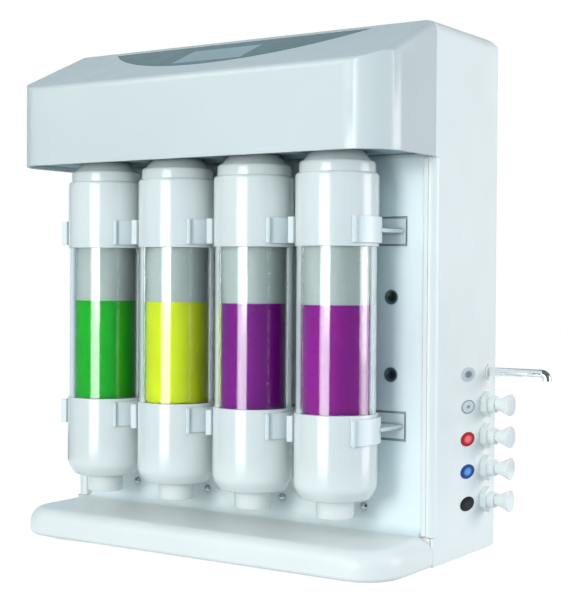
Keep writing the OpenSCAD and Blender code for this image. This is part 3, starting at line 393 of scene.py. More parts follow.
def noise(material, scale, detail=2, stretch=(1, 1, 1)):
    """Noise on the piece's own coordinates, stretched along its axes."""
    nodes, links = material.node_tree.nodes, material.node_tree.links
    place = nodes.new("ShaderNodeTexCoord")
    mapping = nodes.new("ShaderNodeMapping")
    texture = nodes.new("ShaderNodeTexNoise")
    mapping.inputs["Scale"].default_value = stretch
    texture.inputs["Scale"].default_value = scale
    texture.inputs["Detail"].default_value = detail
    links.new(place.outputs["Object"], mapping.inputs["Vector"])
    links.new(mapping.outputs["Vector"], texture.inputs["Vector"])
    return texture.outputs["Fac"]


def spread(material, value, low, high, start=NOISE_LOW, end=NOISE_HIGH):
    """Maps a value between start and end, by default a noise's, to the range from low to high."""
    node = material.node_tree.nodes.new("ShaderNodeMapRange")
    node.inputs["From Min"].default_value = start
    node.inputs["From Max"].default_value = end
    node.inputs["To Min"].default_value = low
    node.inputs["To Max"].default_value = high
    material.node_tree.links.new(value, node.inputs["Value"])
    return node.outputs["Result"]


def tinted(material, shader, value, colour, change):
    """Lets the shader's colour drift lighter and darker by a share of itself."""
    ramp = material.node_tree.nodes.new("ShaderNodeValToRGB")
    ramp.color_ramp.elements[0].position = NOISE_LOW
    ramp.color_ramp.elements[1].position = NOISE_HIGH
    for element, factor in zip(ramp.color_ramp.elements, (1 - change, 1 + change)):
        element.color = [min(1, part * factor) for part in colour] + [1]
    material.node_tree.links.new(value, ramp.inputs["Fac"])
    material.node_tree.links.new(ramp.outputs["Color"], shader.inputs["Base Color"])
    return ramp.outputs["Color"]


def shaded(material, shader, colour, reach):
    """Paints shade into the shader's colour in grooves and corners up to that reach, from ambient
    occlusion.
    """
    node = material.node_tree.nodes.new("ShaderNodeAmbientOcclusion")
    node.samples = SHADING_SAMPLES
    node.inputs["Distance"].default_value = reach
    material.node_tree.links.new(colour, node.inputs["Color"])
    material.node_tree.links.new(node.outputs["Color"], shader.inputs["Base Color"])


def roughened(material, shader, value, low, high):
    """Lets the shader's roughness vary between two limits."""
    rough = spread(material, value, low, high)
    material.node_tree.links.new(rough, shader.inputs["Roughness"])


def grained(material, shader, value, depth, strength):
    """Gives the shader a fine surface relief."""
    bump = material.node_tree.nodes.new("ShaderNodeBump")
    bump.inputs["Distance"].default_value = depth
    bump.inputs["Strength"].default_value = strength
    material.node_tree.links.new(value, bump.inputs["Height"])
    material.node_tree.links.new(bump.outputs["Normal"], shader.inputs["Normal"])


def moulded_plastic(name, colour, gloss, grain=0.06, change=0.025, groove=0, shine=0.5):
    """Injection-moulded plastic with slow colour drift, uneven gloss and fine grain; a groove reach
    paints shade into its grooves and corners.
    """
    material, shader = new_material(name)
    base = tinted(material, shader, noise(material, scale=9, detail=3), colour, change)
    # Painted shade: the colour darkens in grooves and corners within the groove reach
    if groove:
        shaded(material, shader, base, groove)
    patches = noise(material, scale=34, detail=4)
    roughened(material, shader, patches, low=gloss * 0.85, high=gloss * 1.2)
    grained(material, shader, noise(material, scale=1400), depth=0.05 * MM, strength=grain)
    shader.inputs["IOR"].default_value = 1.5
    shader.inputs["Specular IOR Level"].default_value = shine
    return material


def clear_acrylic(name, colour):
    """Clear tube with faint draw marks along its length and paler edges."""
    material, shader = new_material(name)
    marks = noise(material, scale=60, stretch=(1, 1, 0.05))
    tinted(material, shader, marks, colour, change=0.008)
    roughened(material, shader, marks, low=0.06, high=0.10)
    edge = material.node_tree.nodes.new("ShaderNodeLayerWeight")
    edge.inputs["Blend"].default_value = 0.3
    clearness = spread(material, edge.outputs["Facing"], low=1, high=0.25, start=0.32, end=0.45)
    material.node_tree.links.new(clearness, shader.inputs["Transmission Weight"])
    shader.inputs["IOR"].default_value = 1.49
    shader.inputs["Specular IOR Level"].default_value = 0.32
    shader.inputs["Sheen Weight"].default_value = 0.4
    shader.inputs["Sheen Roughness"].default_value = 0.3
    return material


def packed_media(name, colour):
    """Grey granules packed behind a fine net."""
    material, shader = new_material(name)
    grains = noise(material, scale=900, detail=3)
    layers = noise(material, scale=45, detail=3, stretch=(0.3, 0.3, 1))
    tinted(material, shader, grains, colour, change=0.10)
    roughened(material, shader, layers, low=0.55, high=0.75)
    grained(material, shader, grains, depth=0.2 * MM, strength=0.3)
    return material


def printed_film(name, colour):
    """Coloured film sleeve with a satin face."""
    material, shader = new_material(name)
    tinted(material, shader, noise(material, scale=26, detail=3), colour, change=0.06)
    roughened(material, shader, noise(material, scale=120), low=0.28, high=0.42)
    grained(material, shader, noise(material, scale=700), depth=0.03 * MM, strength=0.1)
    shader.inputs["Specular IOR Level"].default_value = 0.05
    return material


def polished_metal(name, colour, gloss, stretch=(1, 1, 1), metal=1):
    """Metal with fine polishing marks."""
    material, shader = new_material(name)
    marks = noise(material, scale=500, detail=3, stretch=stretch)
    tinted(material, shader, marks, colour, change=0.04)
    roughened(material, shader, marks, low=gloss * 0.7, high=gloss * 1.4)
    grained(material, shader, marks, depth=0.02 * MM, strength=0.15)
    shader.inputs["Metallic"].default_value = metal
    return material


def smoked_glass(name, colour, gloss):
    """Dark printed lens under a hard clear face."""
    material, shader = new_material(name)
    tinted(material, shader, noise(material, scale=14), colour, change=0.08)
    patches = noise(material, scale=70, detail=3)
    roughened(material, shader, patches, low=gloss * 0.8, high=gloss * 1.3)
    shader.inputs["Coat Weight"].default_value = 0.3
    shader.inputs["Coat Roughness"].default_value = 0.04
    return material


def printed_disc(node, bands):
    """Moulded oval printed in rings, each from its share of the half width outwards."""
    material = moulded_plastic(node, bands[0][1], gloss=0.4, grain=0.05, change=0.05, shine=0.05)
    nodes, links = material.node_tree.nodes, material.node_tree.links
    centre = middle(node)
    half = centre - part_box(node)[0]
    place = nodes.new("ShaderNodeTexCoord")
    mapping = nodes.new("ShaderNodeMapping")
    mapping.inputs["Location"].default_value = (0, -centre.y / half.y, -centre.z / half.z)
    mapping.inputs["Scale"].default_value = (0, 1 / half.y, 1 / half.z)
    reach = nodes.new("ShaderNodeVectorMath")
    reach.operation = "LENGTH"
    ramp = nodes.new("ShaderNodeValToRGB")
    stops = ramp.color_ramp.elements
    stops.remove(stops[1])
    for number, (share, colour) in enumerate(bands):
        stop = stops[0] if number == 0 else stops.new(share)
        stop.position = share
        stop.color = (*colour, 1)
    links.new(place.outputs["Object"], mapping.inputs["Vector"])
    links.new(mapping.outputs["Vector"], reach.inputs[0])
    links.new(reach.outputs["Value"], ramp.inputs["Fac"])
    links.new(ramp.outputs["Color"], shader_of(material).inputs["Base Color"])
    return material


def dish_shaded_plastic(name, node, rim, floor):
    """Moulded plastic painted darker from just behind a node's front face down into its dishes: painted
    shade in the recesses.
    """
    material = moulded_plastic(name, rim, gloss=0.36, grain=0.1, change=0.1)
    nodes, links = material.node_tree.nodes, material.node_tree.links
    place = nodes.new("ShaderNodeTexCoord")
    axes = nodes.new("ShaderNodeSeparateXYZ")
    ramp = nodes.new("ShaderNodeValToRGB")
    ramp.color_ramp.elements[0].color = (*rim, 1)
    ramp.color_ramp.elements[1].color = (*floor, 1)
    links.new(place.outputs["Object"], axes.inputs["Vector"])
    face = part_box(node)[0].y
    depth = spread(
        material, axes.outputs["Y"], low=0, high=1, start=face + 0.5 * MM, end=face + 2.5 * MM
    )
    links.new(depth, ramp.inputs["Fac"])
    links.new(ramp.outputs["Color"], shader_of(material).inputs["Base Color"])
    return material


def glowing_plastic(name, colour, glow, strength):
    """Pale matt plastic that also gives off some light of its own."""
    material = moulded_plastic(name, colour, gloss=0.6, grain=0.02, change=0.01)
    shader = shader_of(material)
    shader.inputs["Emission Color"].default_value = (*glow, 1)
    shader.inputs["Emission Strength"].default_value = strength
    return material


class MakeFinishes(bpy.types.Operator):
    """Makes the finishes of all pieces"""

    bl_idname = "water_unit.make_finishes"
    bl_label = "Finishes"

    def execute(self, context):
        unit = context.scene.water_unit
        self.housing(unit.housing)
        self.cartridges(unit.cartridge)
        self.fittings(unit.fitting)
        self.markers(unit.fitting)
        self.inner_works(unit.inner, unit.fitting)
        return {"FINISHED"}

    def housing(self, colours):
        """Finishes of the shells, plates, display and clips."""
        moulded_plastic("casing_white", colours.shell_white, gloss=0.34, shine=0.3)
        # Head cover: a darker copy of the casing's white, painted shade
        moulded_plastic("head_white", colours.head_white, gloss=0.22, shine=0.4)
        moulded_plastic(
            "tray_white", colours.tray_white, gloss=0.36, grain=0.02, change=0.02, shine=0.4
        )
        # Painted shade darkens the panel, and the cove that shares its finish, in pockets and corners
        # within 5 mm
        moulded_plastic("panel_white", colours.panel_white, gloss=0.36, groove=5 * MM)
        # Painted shade: the underside plate is painted dark, with more painted shade in its grooves and
        # corners within 12 mm
        moulded_plastic(
            "underside_grey", colours.underside_grey, gloss=0.4, groove=12 * MM, shine=0.2
        )
        moulded_plastic("hatch_grey", colours.hatch_grey, gloss=0.42, grain=0.2)
        smoked_glass("lens_dark", colours.lens_teal, gloss=0.2)
        smoked_glass("display_glass", colours.window_teal, gloss=0.18)
        # Painted shade darkens the clips in their corners and pockets within 2.5 mm
        moulded_plastic("clip_white", colours.clip_white, gloss=0.36, groove=2.5 * MM)

    def cartridges(self, colours):
        """Finishes of the cartridges."""
        moulded_plastic("cap_white", colours.cap_white, gloss=0.16, grain=0.03)
        clear_acrylic("clear_tube", colours.tube_clear)
        packed_media("filter_media", colours.media_grey)
        for tint in SLEEVE_TINTS.values():
            printed_film("sleeve_" + tint, getattr(colours, tint))

    def fittings(self, colours):
        """Finishes of the ports, spout, screws, power entry and feet."""
        moulded_plastic("fitting_white", colours.port_white, gloss=0.36)
        moulded_plastic("plug_white", colours.port_white, gloss=0.22)
        polished_metal("spout_chrome", colours.chrome, gloss=0.12, metal=0.85)
        polished_metal("screw_steel", colours.steel, gloss=0.18)
        # Panel screws: painted shade from a dark teal rim down to black in the dishes
        dish_shaded_plastic("screw_black", "black_screws", colours.screw_shade_teal, colours.black)
        moulded_plastic("entry_black", colours.black, gloss=0.45, grain=0.2, change=0.1)
        moulded_plastic("rocker_black", colours.black, gloss=0.36, grain=0.1, change=0.1)
        moulded_plastic("foot_rubber", colours.rubber, gloss=0.8, grain=0.3, change=0.15)

    def markers(self, colours):
        """Finishes of the oval markers: shaded towards the edge, the white one with a printed ring."""
        for tint in MARKERS:
            paint = {"core": getattr(colours, tint), "rim": getattr(colours, tint + "_rim")}
            bands = RINGED_BANDS if tint == "white" else SHADED_BANDS
            printed_disc("marker_" + tint, [(share, paint[part]) for share, part in bands])

    def inner_works(self, colours, fitting_colours):
        """Finishes of the works inside the casing."""
        moulded_plastic("vessel_white", colours.vessel_white, gloss=0.35)
        moulded_plastic("board_green", colours.board_green, gloss=0.4, grain=0.2, change=0.2)
        polished_metal("pump_metal", colours.pump_metal, gloss=0.35)
        moulded_plastic("pump_black", fitting_colours.black, gloss=0.5, grain=0.2, change=0.1)
        polished_metal("supply_metal", colours.supply_metal, gloss=0.4, stretch=(0.1, 1, 1))
        moulded_plastic("tubing_blue", colours.tubing_blue, gloss=0.36)


# Shaping


def node_copy(node):
    """A merged copy of a CAD node's mesh, with the triangles of each flat face joined."""
    shape = bmesh.new()
    shape.from_mesh(frame["nodes"][node].data)
    bmesh.ops.remove_doubles(shape, verts=shape.verts, dist=CAD_MERGE)
    bmesh.ops.dissolve_limit(
        shape, angle_limit=FLAT_ANGLE, verts=shape.verts, edges=shape.edges
    )
    return shape


def sharp_edges(shape):
    """Edges where two faces meet at an angle."""
    return [
        edge
        for edge in shape.edges
        if len(edge.link_faces) == 2 and edge.calc_face_angle() > EDGE_ANGLE
    ]


def sharp_edges_at(shape, axis, place):
    """Sharp edges in the plane at that place on the axis x, y or z."""

    def in_plane(vert):
        return abs(getattr(vert.co, axis) - place) < NEAR

    return [edge for edge in sharp_edges(shape) if all(in_plane(vert) for vert in edge.verts)]


def ring_edges(shape, radius, height):
    """Edges of a turned shape's ring at that radius and height."""

    def on_ring(vert):
        return abs(vert.co.xy.length - radius) < NEAR and abs(vert.co.z - height) < NEAR

    return [edge for edge in shape.edges if all(on_ring(vert) for vert in edge.verts)]


def of_kind(geometry, kind):
    """The vertices or the edges in an operator's result."""
    return [part for part in geometry if isinstance(part, kind)]


def soften(shape, edges, width, segments=2):
    """Rounds edges."""
    if edges:
        bmesh.ops.bevel(
            shape,
            geom=edges,
            offset=width,
            offset_type="OFFSET",
            affect="EDGES",
            segments=segments,
            profile=0.5,
            material=-1,
            clamp_overlap=False,
            loop_slide=True,
        )


def drawn_back(shape, node, reach):
    """Brings vertices that a rounding threw off a CAD node's surface back onto it."""
    solid = bmesh.new()
    solid.from_mesh(frame["nodes"][node].data)
    surface = BVHTree.FromBMesh(solid)
    solid.free()
    for vert in shape.verts:
        place, _, _, gap = surface.find_nearest(vert.co)
        if gap > reach:
            vert.co = place


def turned(profile, steps=TURN_STEPS):
    """Spins a profile of radii and heights round the z axis into a closed shape."""
    shape = bmesh.new()
    chain = [shape.verts.new((radius, 0, height)) for radius, height in profile]
    for first, second in zip(chain, chain[1:]):
        shape.edges.new((first, second))
    if profile[0][0] > 0:
        shape.edges.new((chain[-1], chain[0]))
    bmesh.ops.spin(
        shape,
        geom=shape.verts[:] + shape.edges[:],
        cent=(0, 0, 0),
        axis=AXIS_Z,
        angle=math.tau,
        steps=steps,
        use_merge=True,
    )
    bmesh.ops.remove_doubles(shape, verts=shape.verts, dist=MERGE)
    bmesh.ops.recalc_face_normals(shape, faces=shape.faces)
    return shape


def moved(shape, place):
    """Moves a shape to its place in the frame."""
    bmesh.ops.translate(shape, vec=place, verts=shape.verts)
    return shape


def pointed_right(shape):
    """Turns a shape made on the z axis to point along +x."""
    turn = Matrix.Rotation(QUARTER_TURN, 3, "Y")
    bmesh.ops.rotate(shape, cent=(0, 0, 0), matrix=turn, verts=shape.verts)
    return shape


def extra_piece(name, shape, node, slot, finish=None):
    """Makes a shape a piece of its own that rides on a CAD node's body."""
    for face in shape.faces:
        face.smooth = True
    mesh = bpy.data.meshes.new(name)
    shape.to_mesh(mesh)
    shape.free()
    mesh.set_sharp_from_angle(angle=SMOOTH_ANGLE)
    mesh.materials.clear()
    mesh.materials.append(bpy.data.materials[(finish or slot) + FINISH])
    piece = bpy.data.objects.new(name, mesh)
    bpy.context.scene.collection.objects.link(piece)
    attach(piece, frame["nodes"][node]["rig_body"])
    return piece


def placed_piece(shape, node, slot, finish=None):
    """Makes a shape the piece that stands for a CAD node."""
    piece = extra_piece(node + "_finished", shape, node, slot, finish)
    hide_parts(node)
    return piece


def evened(piece):
    """Keeps wide flat faces flat beside their rounded edges."""
    weights = piece.modifiers.new("Even Normals", "WEIGHTED_NORMAL")
    weights.keep_sharp = True
    return piece


def softened_node(node, slot, width, segments=2, finish=None):
    """A CAD node's shape with rounded edges."""
    shape = node_copy(node)
    soften(shape, sharp_edges(shape), width, segments)
    drawn_back(shape, node, width / 2)
    return evened(placed_piece(shape, node, slot, finish))


# Pieces


class BuildHousing(bpy.types.Operator):
    """Builds the casing, head, tray, front panel and rear hatch"""

    bl_idname = "water_unit.build_housing"
    bl_label = "Housing"

    def execute(self, context):
        housing = context.scene.water_unit.housing
        plate = housing.plate_edge
        self.shell(housing, "rear_casing", "casing_white")
        self.shell(housing, "head_cover", "head_white")
        softened_node(
            "base_tray", "casing_white", housing.shell_edge, segments=3, finish="tray_white"
        )
        softened_node("front_panel", "panel_white", plate)
        softened_node("head_underside", "panel_white", plate, finish="underside_grey")
        softened_node("back_hatch", "hatch_grey", plate)
        self.cove(housing)
        return {"FINISHED"}

    def shell(self, housing, node, finish):
        """A moulded shell with a wider rounding along the seam of head and casing."""
        shape = node_copy(node)
        seam = sharp_edges_at(shape, "y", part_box("head_cover")[1].y)
        soften(shape, seam, housing.seam_edge, segments=3)
        soften(shape, sharp_edges(shape), housing.shell_edge, segments=3)
        drawn_back(shape, node, housing.seam_edge / 2)
        evened(placed_piece(shape, node, "casing_white", finish))

    def cove(self, housing):
        """A hollow rounding along the foot of the front panel."""
        corner, far_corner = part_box("front_panel")
        bend = [QUARTER_TURN * step / COVE_STEPS for step in range(COVE_STEPS + 1)]
        curve = [
            corner + housing.cove * Vector((0, math.sin(turn) - 1, 1 - math.cos(turn)))
            for turn in bend
        ]
        shape = bmesh.new()
        face = shape.faces.new([shape.verts.new(point) for point in (corner, *curve)])
        swept = bmesh.ops.extrude_face_region(shape, geom=[face])["geom"]
        length = far_corner.x - corner.x
        bmesh.ops.translate(shape, vec=(length, 0, 0), verts=of_kind(swept, BMVert))
        bmesh.ops.recalc_face_normals(shape, faces=shape.faces)
        extra_piece("tray_cove", shape, "base_tray", "casing_white", "panel_white")


class BuildDisplay(bpy.types.Operator):
    """Builds the lens and the display window in the sloped face"""

    bl_idname = "water_unit.build_display"
    bl_label = "Display"

    def execute(self, context):
        housing = context.scene.water_unit.housing
        softened_node("control_lens", "lens_dark", housing.plate_edge)
        softened_node("display_window", "display_glass", housing.plate_edge)
        return {"FINISHED"}


class BuildClips(bpy.types.Operator):
    """Builds the snap clips on the front panel"""

    bl_idname = "water_unit.build_clips"
    bl_label = "Snap Clips"

    def execute(self, context):
        housing = context.scene.water_unit.housing
        softened_node("cartridge_clips", "clip_white", housing.clip_edge)
        return {"FINISHED"}


class BuildCartridges(bpy.types.Operator):
    """Builds the four filter cartridges"""

    bl_idname = "water_unit.build_cartridges"
    bl_label = "Cartridges"

    def execute(self, context):
        sizes = context.scene.water_unit.cartridge
        for number in CARTRIDGES:
            self.upper_cap(sizes, number)
            self.lower_cap(sizes, number)
            self.clear_tube(sizes, number)
            self.core(number)
            self.sleeve(number)
        return {"FINISHED"}

    def stood(self, shape, node, slot):
        """Stands a turned shape on its node's axis."""
        axis = middle(node)
        placed_piece(moved(shape, (axis.x, axis.y, 0)), node, slot)

    def seal_groove(self, sizes, height):
        """Profile of the half-round groove in the spigot, from its upper edge down."""
        turns = [math.pi * step / GROOVE_STEPS for step in range(GROOVE_STEPS + 1)]
        return [
            (
                sizes.spigot_radius - sizes.groove * math.sin(turn),
                height + sizes.groove * math.cos(turn),
            )
            for turn in turns
        ]

    def upper_cap(self, sizes, number):
        """Cap over the tube's top, with a ring, a cone and a spigot for the head's socket."""
        node = f"cartridge_{number}_upper_cap"
        low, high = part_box(node)
        tube_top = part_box(f"cartridge_{number}_tube")[1].z + FIT
        wall_top = low.z + sizes.upper_wall
        ring_top = wall_top + sizes.ring_height
        cone_top = ring_top + sizes.cone_height
        bore = sizes.tube_radius + FIT
        shape = turned(
            [
                (0, high.z),
                (sizes.spigot_radius, high.z),
                *self.seal_groove(sizes, (high.z + cone_top) / 2),
                (sizes.spigot_radius, cone_top),
                (sizes.cone_top, cone_top),
                (sizes.ring_radius - sizes.cap_edge, ring_top),
                (sizes.ring_radius, ring_top),
                (sizes.ring_radius, wall_top),
                (sizes.cap_radius, wall_top),
                (sizes.cap_radius, low.z),
                (bore, low.z),
                (bore, tube_top),
                (0, tube_top),
            ]
        )
        shoulders = ring_edges(shape, sizes.cap_radius, wall_top)
        shoulders += ring_edges(shape, sizes.ring_radius, ring_top)
        soften(shape, shoulders, sizes.cap_edge * SHOULDER_SHARE, segments=5)
        soften(shape, ring_edges(shape, sizes.cap_radius, low.z), sizes.fine_edge, segments=3)
        soften(shape, ring_edges(shape, sizes.spigot_radius, high.z), sizes.fine_edge, segments=3)
        self.stood(shape, node, "cap_white")

    def lower_cap(self, sizes, number):
        """Cap under the tube's foot, tapering to a neck."""
        node = f"cartridge_{number}_lower_cap"
        low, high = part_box(node)
        tube_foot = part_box(f"cartridge_{number}_tube")[0].z
        taper_foot = low.z + sizes.neck_height
        wall_foot = taper_foot + sizes.taper_height
        bore = sizes.tube_radius + FIT
        shape = turned(
            [
                (0, tube_foot),
                (bore, tube_foot),
                (bore, high.z),
                (sizes.cap_radius, high.z),
                (sizes.cap_radius, wall_foot),
                (sizes.taper_radius, taper_foot),
                (sizes.neck_radius + sizes.neck_draft, taper_foot),
                (sizes.neck_radius, low.z),
                (0, low.z),
            ]
        )
        foot_edge = 2 * sizes.fine_edge
        soften(shape, ring_edges(shape, sizes.cap_radius, high.z), sizes.fine_edge, segments=3)
        soften(shape, ring_edges(shape, sizes.cap_radius, wall_foot), sizes.cap_edge, segments=4)
        soften(shape, ring_edges(shape, sizes.taper_radius, taper_foot), foot_edge, segments=3)
        soften(shape, ring_edges(shape, sizes.neck_radius, low.z), foot_edge, segments=3)
        self.stood(shape, node, "cap_white")

    def ring(self, node, inner, outer, slot, steps=TURN_STEPS):
        """A plain tube as high as its node."""
        low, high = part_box(node)
        profile = [(inner, low.z), (outer, low.z), (outer, high.z), (inner, high.z)]
        self.stood(turned(profile, steps), node, slot)

    def clear_tube(self, sizes, number):
        """Clear tube between the caps."""
        inner = sizes.tube_radius - sizes.tube_wall
        node = f"cartridge_{number}_tube"
        self.ring(node, inner, sizes.tube_radius, "clear_tube", TUBE_STEPS)

    def core(self, number):
        """Packed media in the tube."""
        node = f"cartridge_{number}_core"
        self.ring(node, 0, half_width(node), "filter_media")

    def sleeve(self, number):
        """Coloured film round the media."""
        node = f"cartridge_{number}_sleeve"
        inner = half_width(f"cartridge_{number}_core") + FIT
        self.ring(node, inner, half_width(node), "sleeve_" + SLEEVE_TINTS[number])


class BuildPorts(bpy.types.Operator):
    """Builds the side ports and their plugs"""

    bl_idname = "water_unit.build_ports"
    bl_label = "Ports and Plugs"

    def execute(self, context):
        sizes = context.scene.water_unit.fitting
        softened_node("port_bodies", "fitting_white", sizes.port_edge)
        for number in PORTS:
            self.plug(sizes, number)
        return {"FINISHED"}

    def plug(self, sizes, number):
        """A plug whose head opens from its waist like a trumpet's bell."""
        node = f"plug_{number}"
        low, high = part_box(node)
        axis = middle(node)
        face = high.x - sizes.plug_length
        growth = sizes.plug_head - sizes.plug_waist
        flare = [
            (sizes.plug_waist + growth * share**sizes.plug_flare, face + sizes.plug_length * share)
            for share in (step / FLARE_STEPS for step in range(FLARE_STEPS + 1))
        ]
        stem = [(0, low.x), (sizes.plug_stem, low.x), (sizes.plug_stem, face)]
        shape = turned([*stem, *flare, (0, high.x)], PLUG_STEPS)
        soften(shape, ring_edges(shape, sizes.plug_head, high.x), sizes.plug_rim, segments=4)
        soften(shape, ring_edges(shape, sizes.plug_stem, low.x), sizes.plug_tip)
        placed_piece(moved(pointed_right(shape), (0, axis.y, axis.z)), node, "plug_white")


class BuildSpout(bpy.types.Operator):
    """Builds the bent spout and its fitting"""

    bl_idname = "water_unit.build_spout"
    bl_label = "Spout"

    def execute(self, context):
        sizes = context.scene.water_unit.fitting
        self.bent_tube(sizes)
        softened_node("spout_fitting", "fitting_white", sizes.collar_edge)
        return {"FINISHED"}

    def bent_tube(self, sizes):
        """A tube that runs out to the right and turns down at its tip."""
        low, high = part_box("spout")
        axis_y = middle("spout").y
        axis_z = high.z - sizes.spout_radius
        turn_x = high.x - sizes.spout_radius - sizes.spout_bend
        shape = bmesh.new()
        bmesh.ops.create_circle(shape, segments=SPOUT_SIDES, radius=sizes.spout_radius)
        moved(pointed_right(shape), (low.x, axis_y, axis_z))
        run = bmesh.ops.extrude_edge_only(shape, edges=shape.edges[:])["geom"]
        bmesh.ops.translate(shape, vec=(turn_x - low.x, 0, 0), verts=of_kind(run, BMVert))
        bend = bmesh.ops.spin(
            shape,
            geom=of_kind(run, BMEdge) + of_kind(run, BMVert),
            cent=(turn_x, axis_y, axis_z - sizes.spout_bend),
            axis=AXIS_Y,
            angle=QUARTER_TURN,
            steps=BEND_STEPS,
        )["geom_last"]
        drop = bmesh.ops.extrude_edge_only(shape, edges=of_kind(bend, BMEdge))["geom"]
        tips = of_kind(drop, BMVert)
        bmesh.ops.translate(shape, vec=(0, 0, low.z - tips[0].co.z), verts=tips)
        bmesh.ops.remove_doubles(shape, verts=shape.verts, dist=MERGE)
        bmesh.ops.recalc_face_normals(shape, faces=shape.faces)
        bmesh.ops.solidify(shape, geom=shape.faces[:], thickness=sizes.spout_wall)
        placed_piece(shape, "spout", "spout_chrome")


class BuildMarkers(bpy.types.Operator):
    """Builds the oval markers beside the side fittings"""

    bl_idname = "water_unit.build_markers"
    bl_label = "Markers"

    def execute(self, context):
        sizes = context.scene.water_unit.fitting
        for tint in MARKERS:
            node = "marker_" + tint
            shape = node_copy(node)
            rim = sharp_edges_at(shape, "x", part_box(node)[1].x)
            soften(shape, rim, sizes.marker_edge, segments=3)
            placed_piece(shape, node, node)
        return {"FINISHED"}


class BuildScrews(bpy.types.Operator):
    """Builds the screws of the front panel and of the rear hatch"""

    bl_idname = "water_unit.build_screws"
    bl_label = "Screws"

    def execute(self, context):
        sizes = context.scene.water_unit.fitting
        softened_node("dome_screws", "screw_steel", sizes.screw_edge)
        softened_node("black_screws", "screw_black", sizes.screw_edge)
        softened_node("hatch_screws", "screw_steel", sizes.hatch_screw_edge)
        return {"FINISHED"}


class BuildRearFittings(bpy.types.Operator):
    """Builds the power entry, its switch and the feet"""

    bl_idname = "water_unit.build_rear_fittings"
    bl_label = "Power Entry and Feet"

    def execute(self, context):
        sizes = context.scene.water_unit.fitting
        softened_node("power_entry", "entry_black", sizes.entry_edge)
        softened_node("switch_rocker", "rocker_black", sizes.entry_edge)
        softened_node("feet", "foot_rubber", sizes.foot_edge)
        return {"FINISHED"}


class DressInnerWorks(bpy.types.Operator):
    """Gives the CAD pieces inside the casing their finishes"""

    bl_idname = "water_unit.dress_inner_works"
    bl_label = "Inner Works"

    def execute(self, context):
        for node, finish in INNER_FINISHES.items():
            mesh = frame["nodes"][node].data
            mesh.materials.clear()
            mesh.materials.append(bpy.data.materials[finish + FINISH])
        return {"FINISHED"}


# Stage


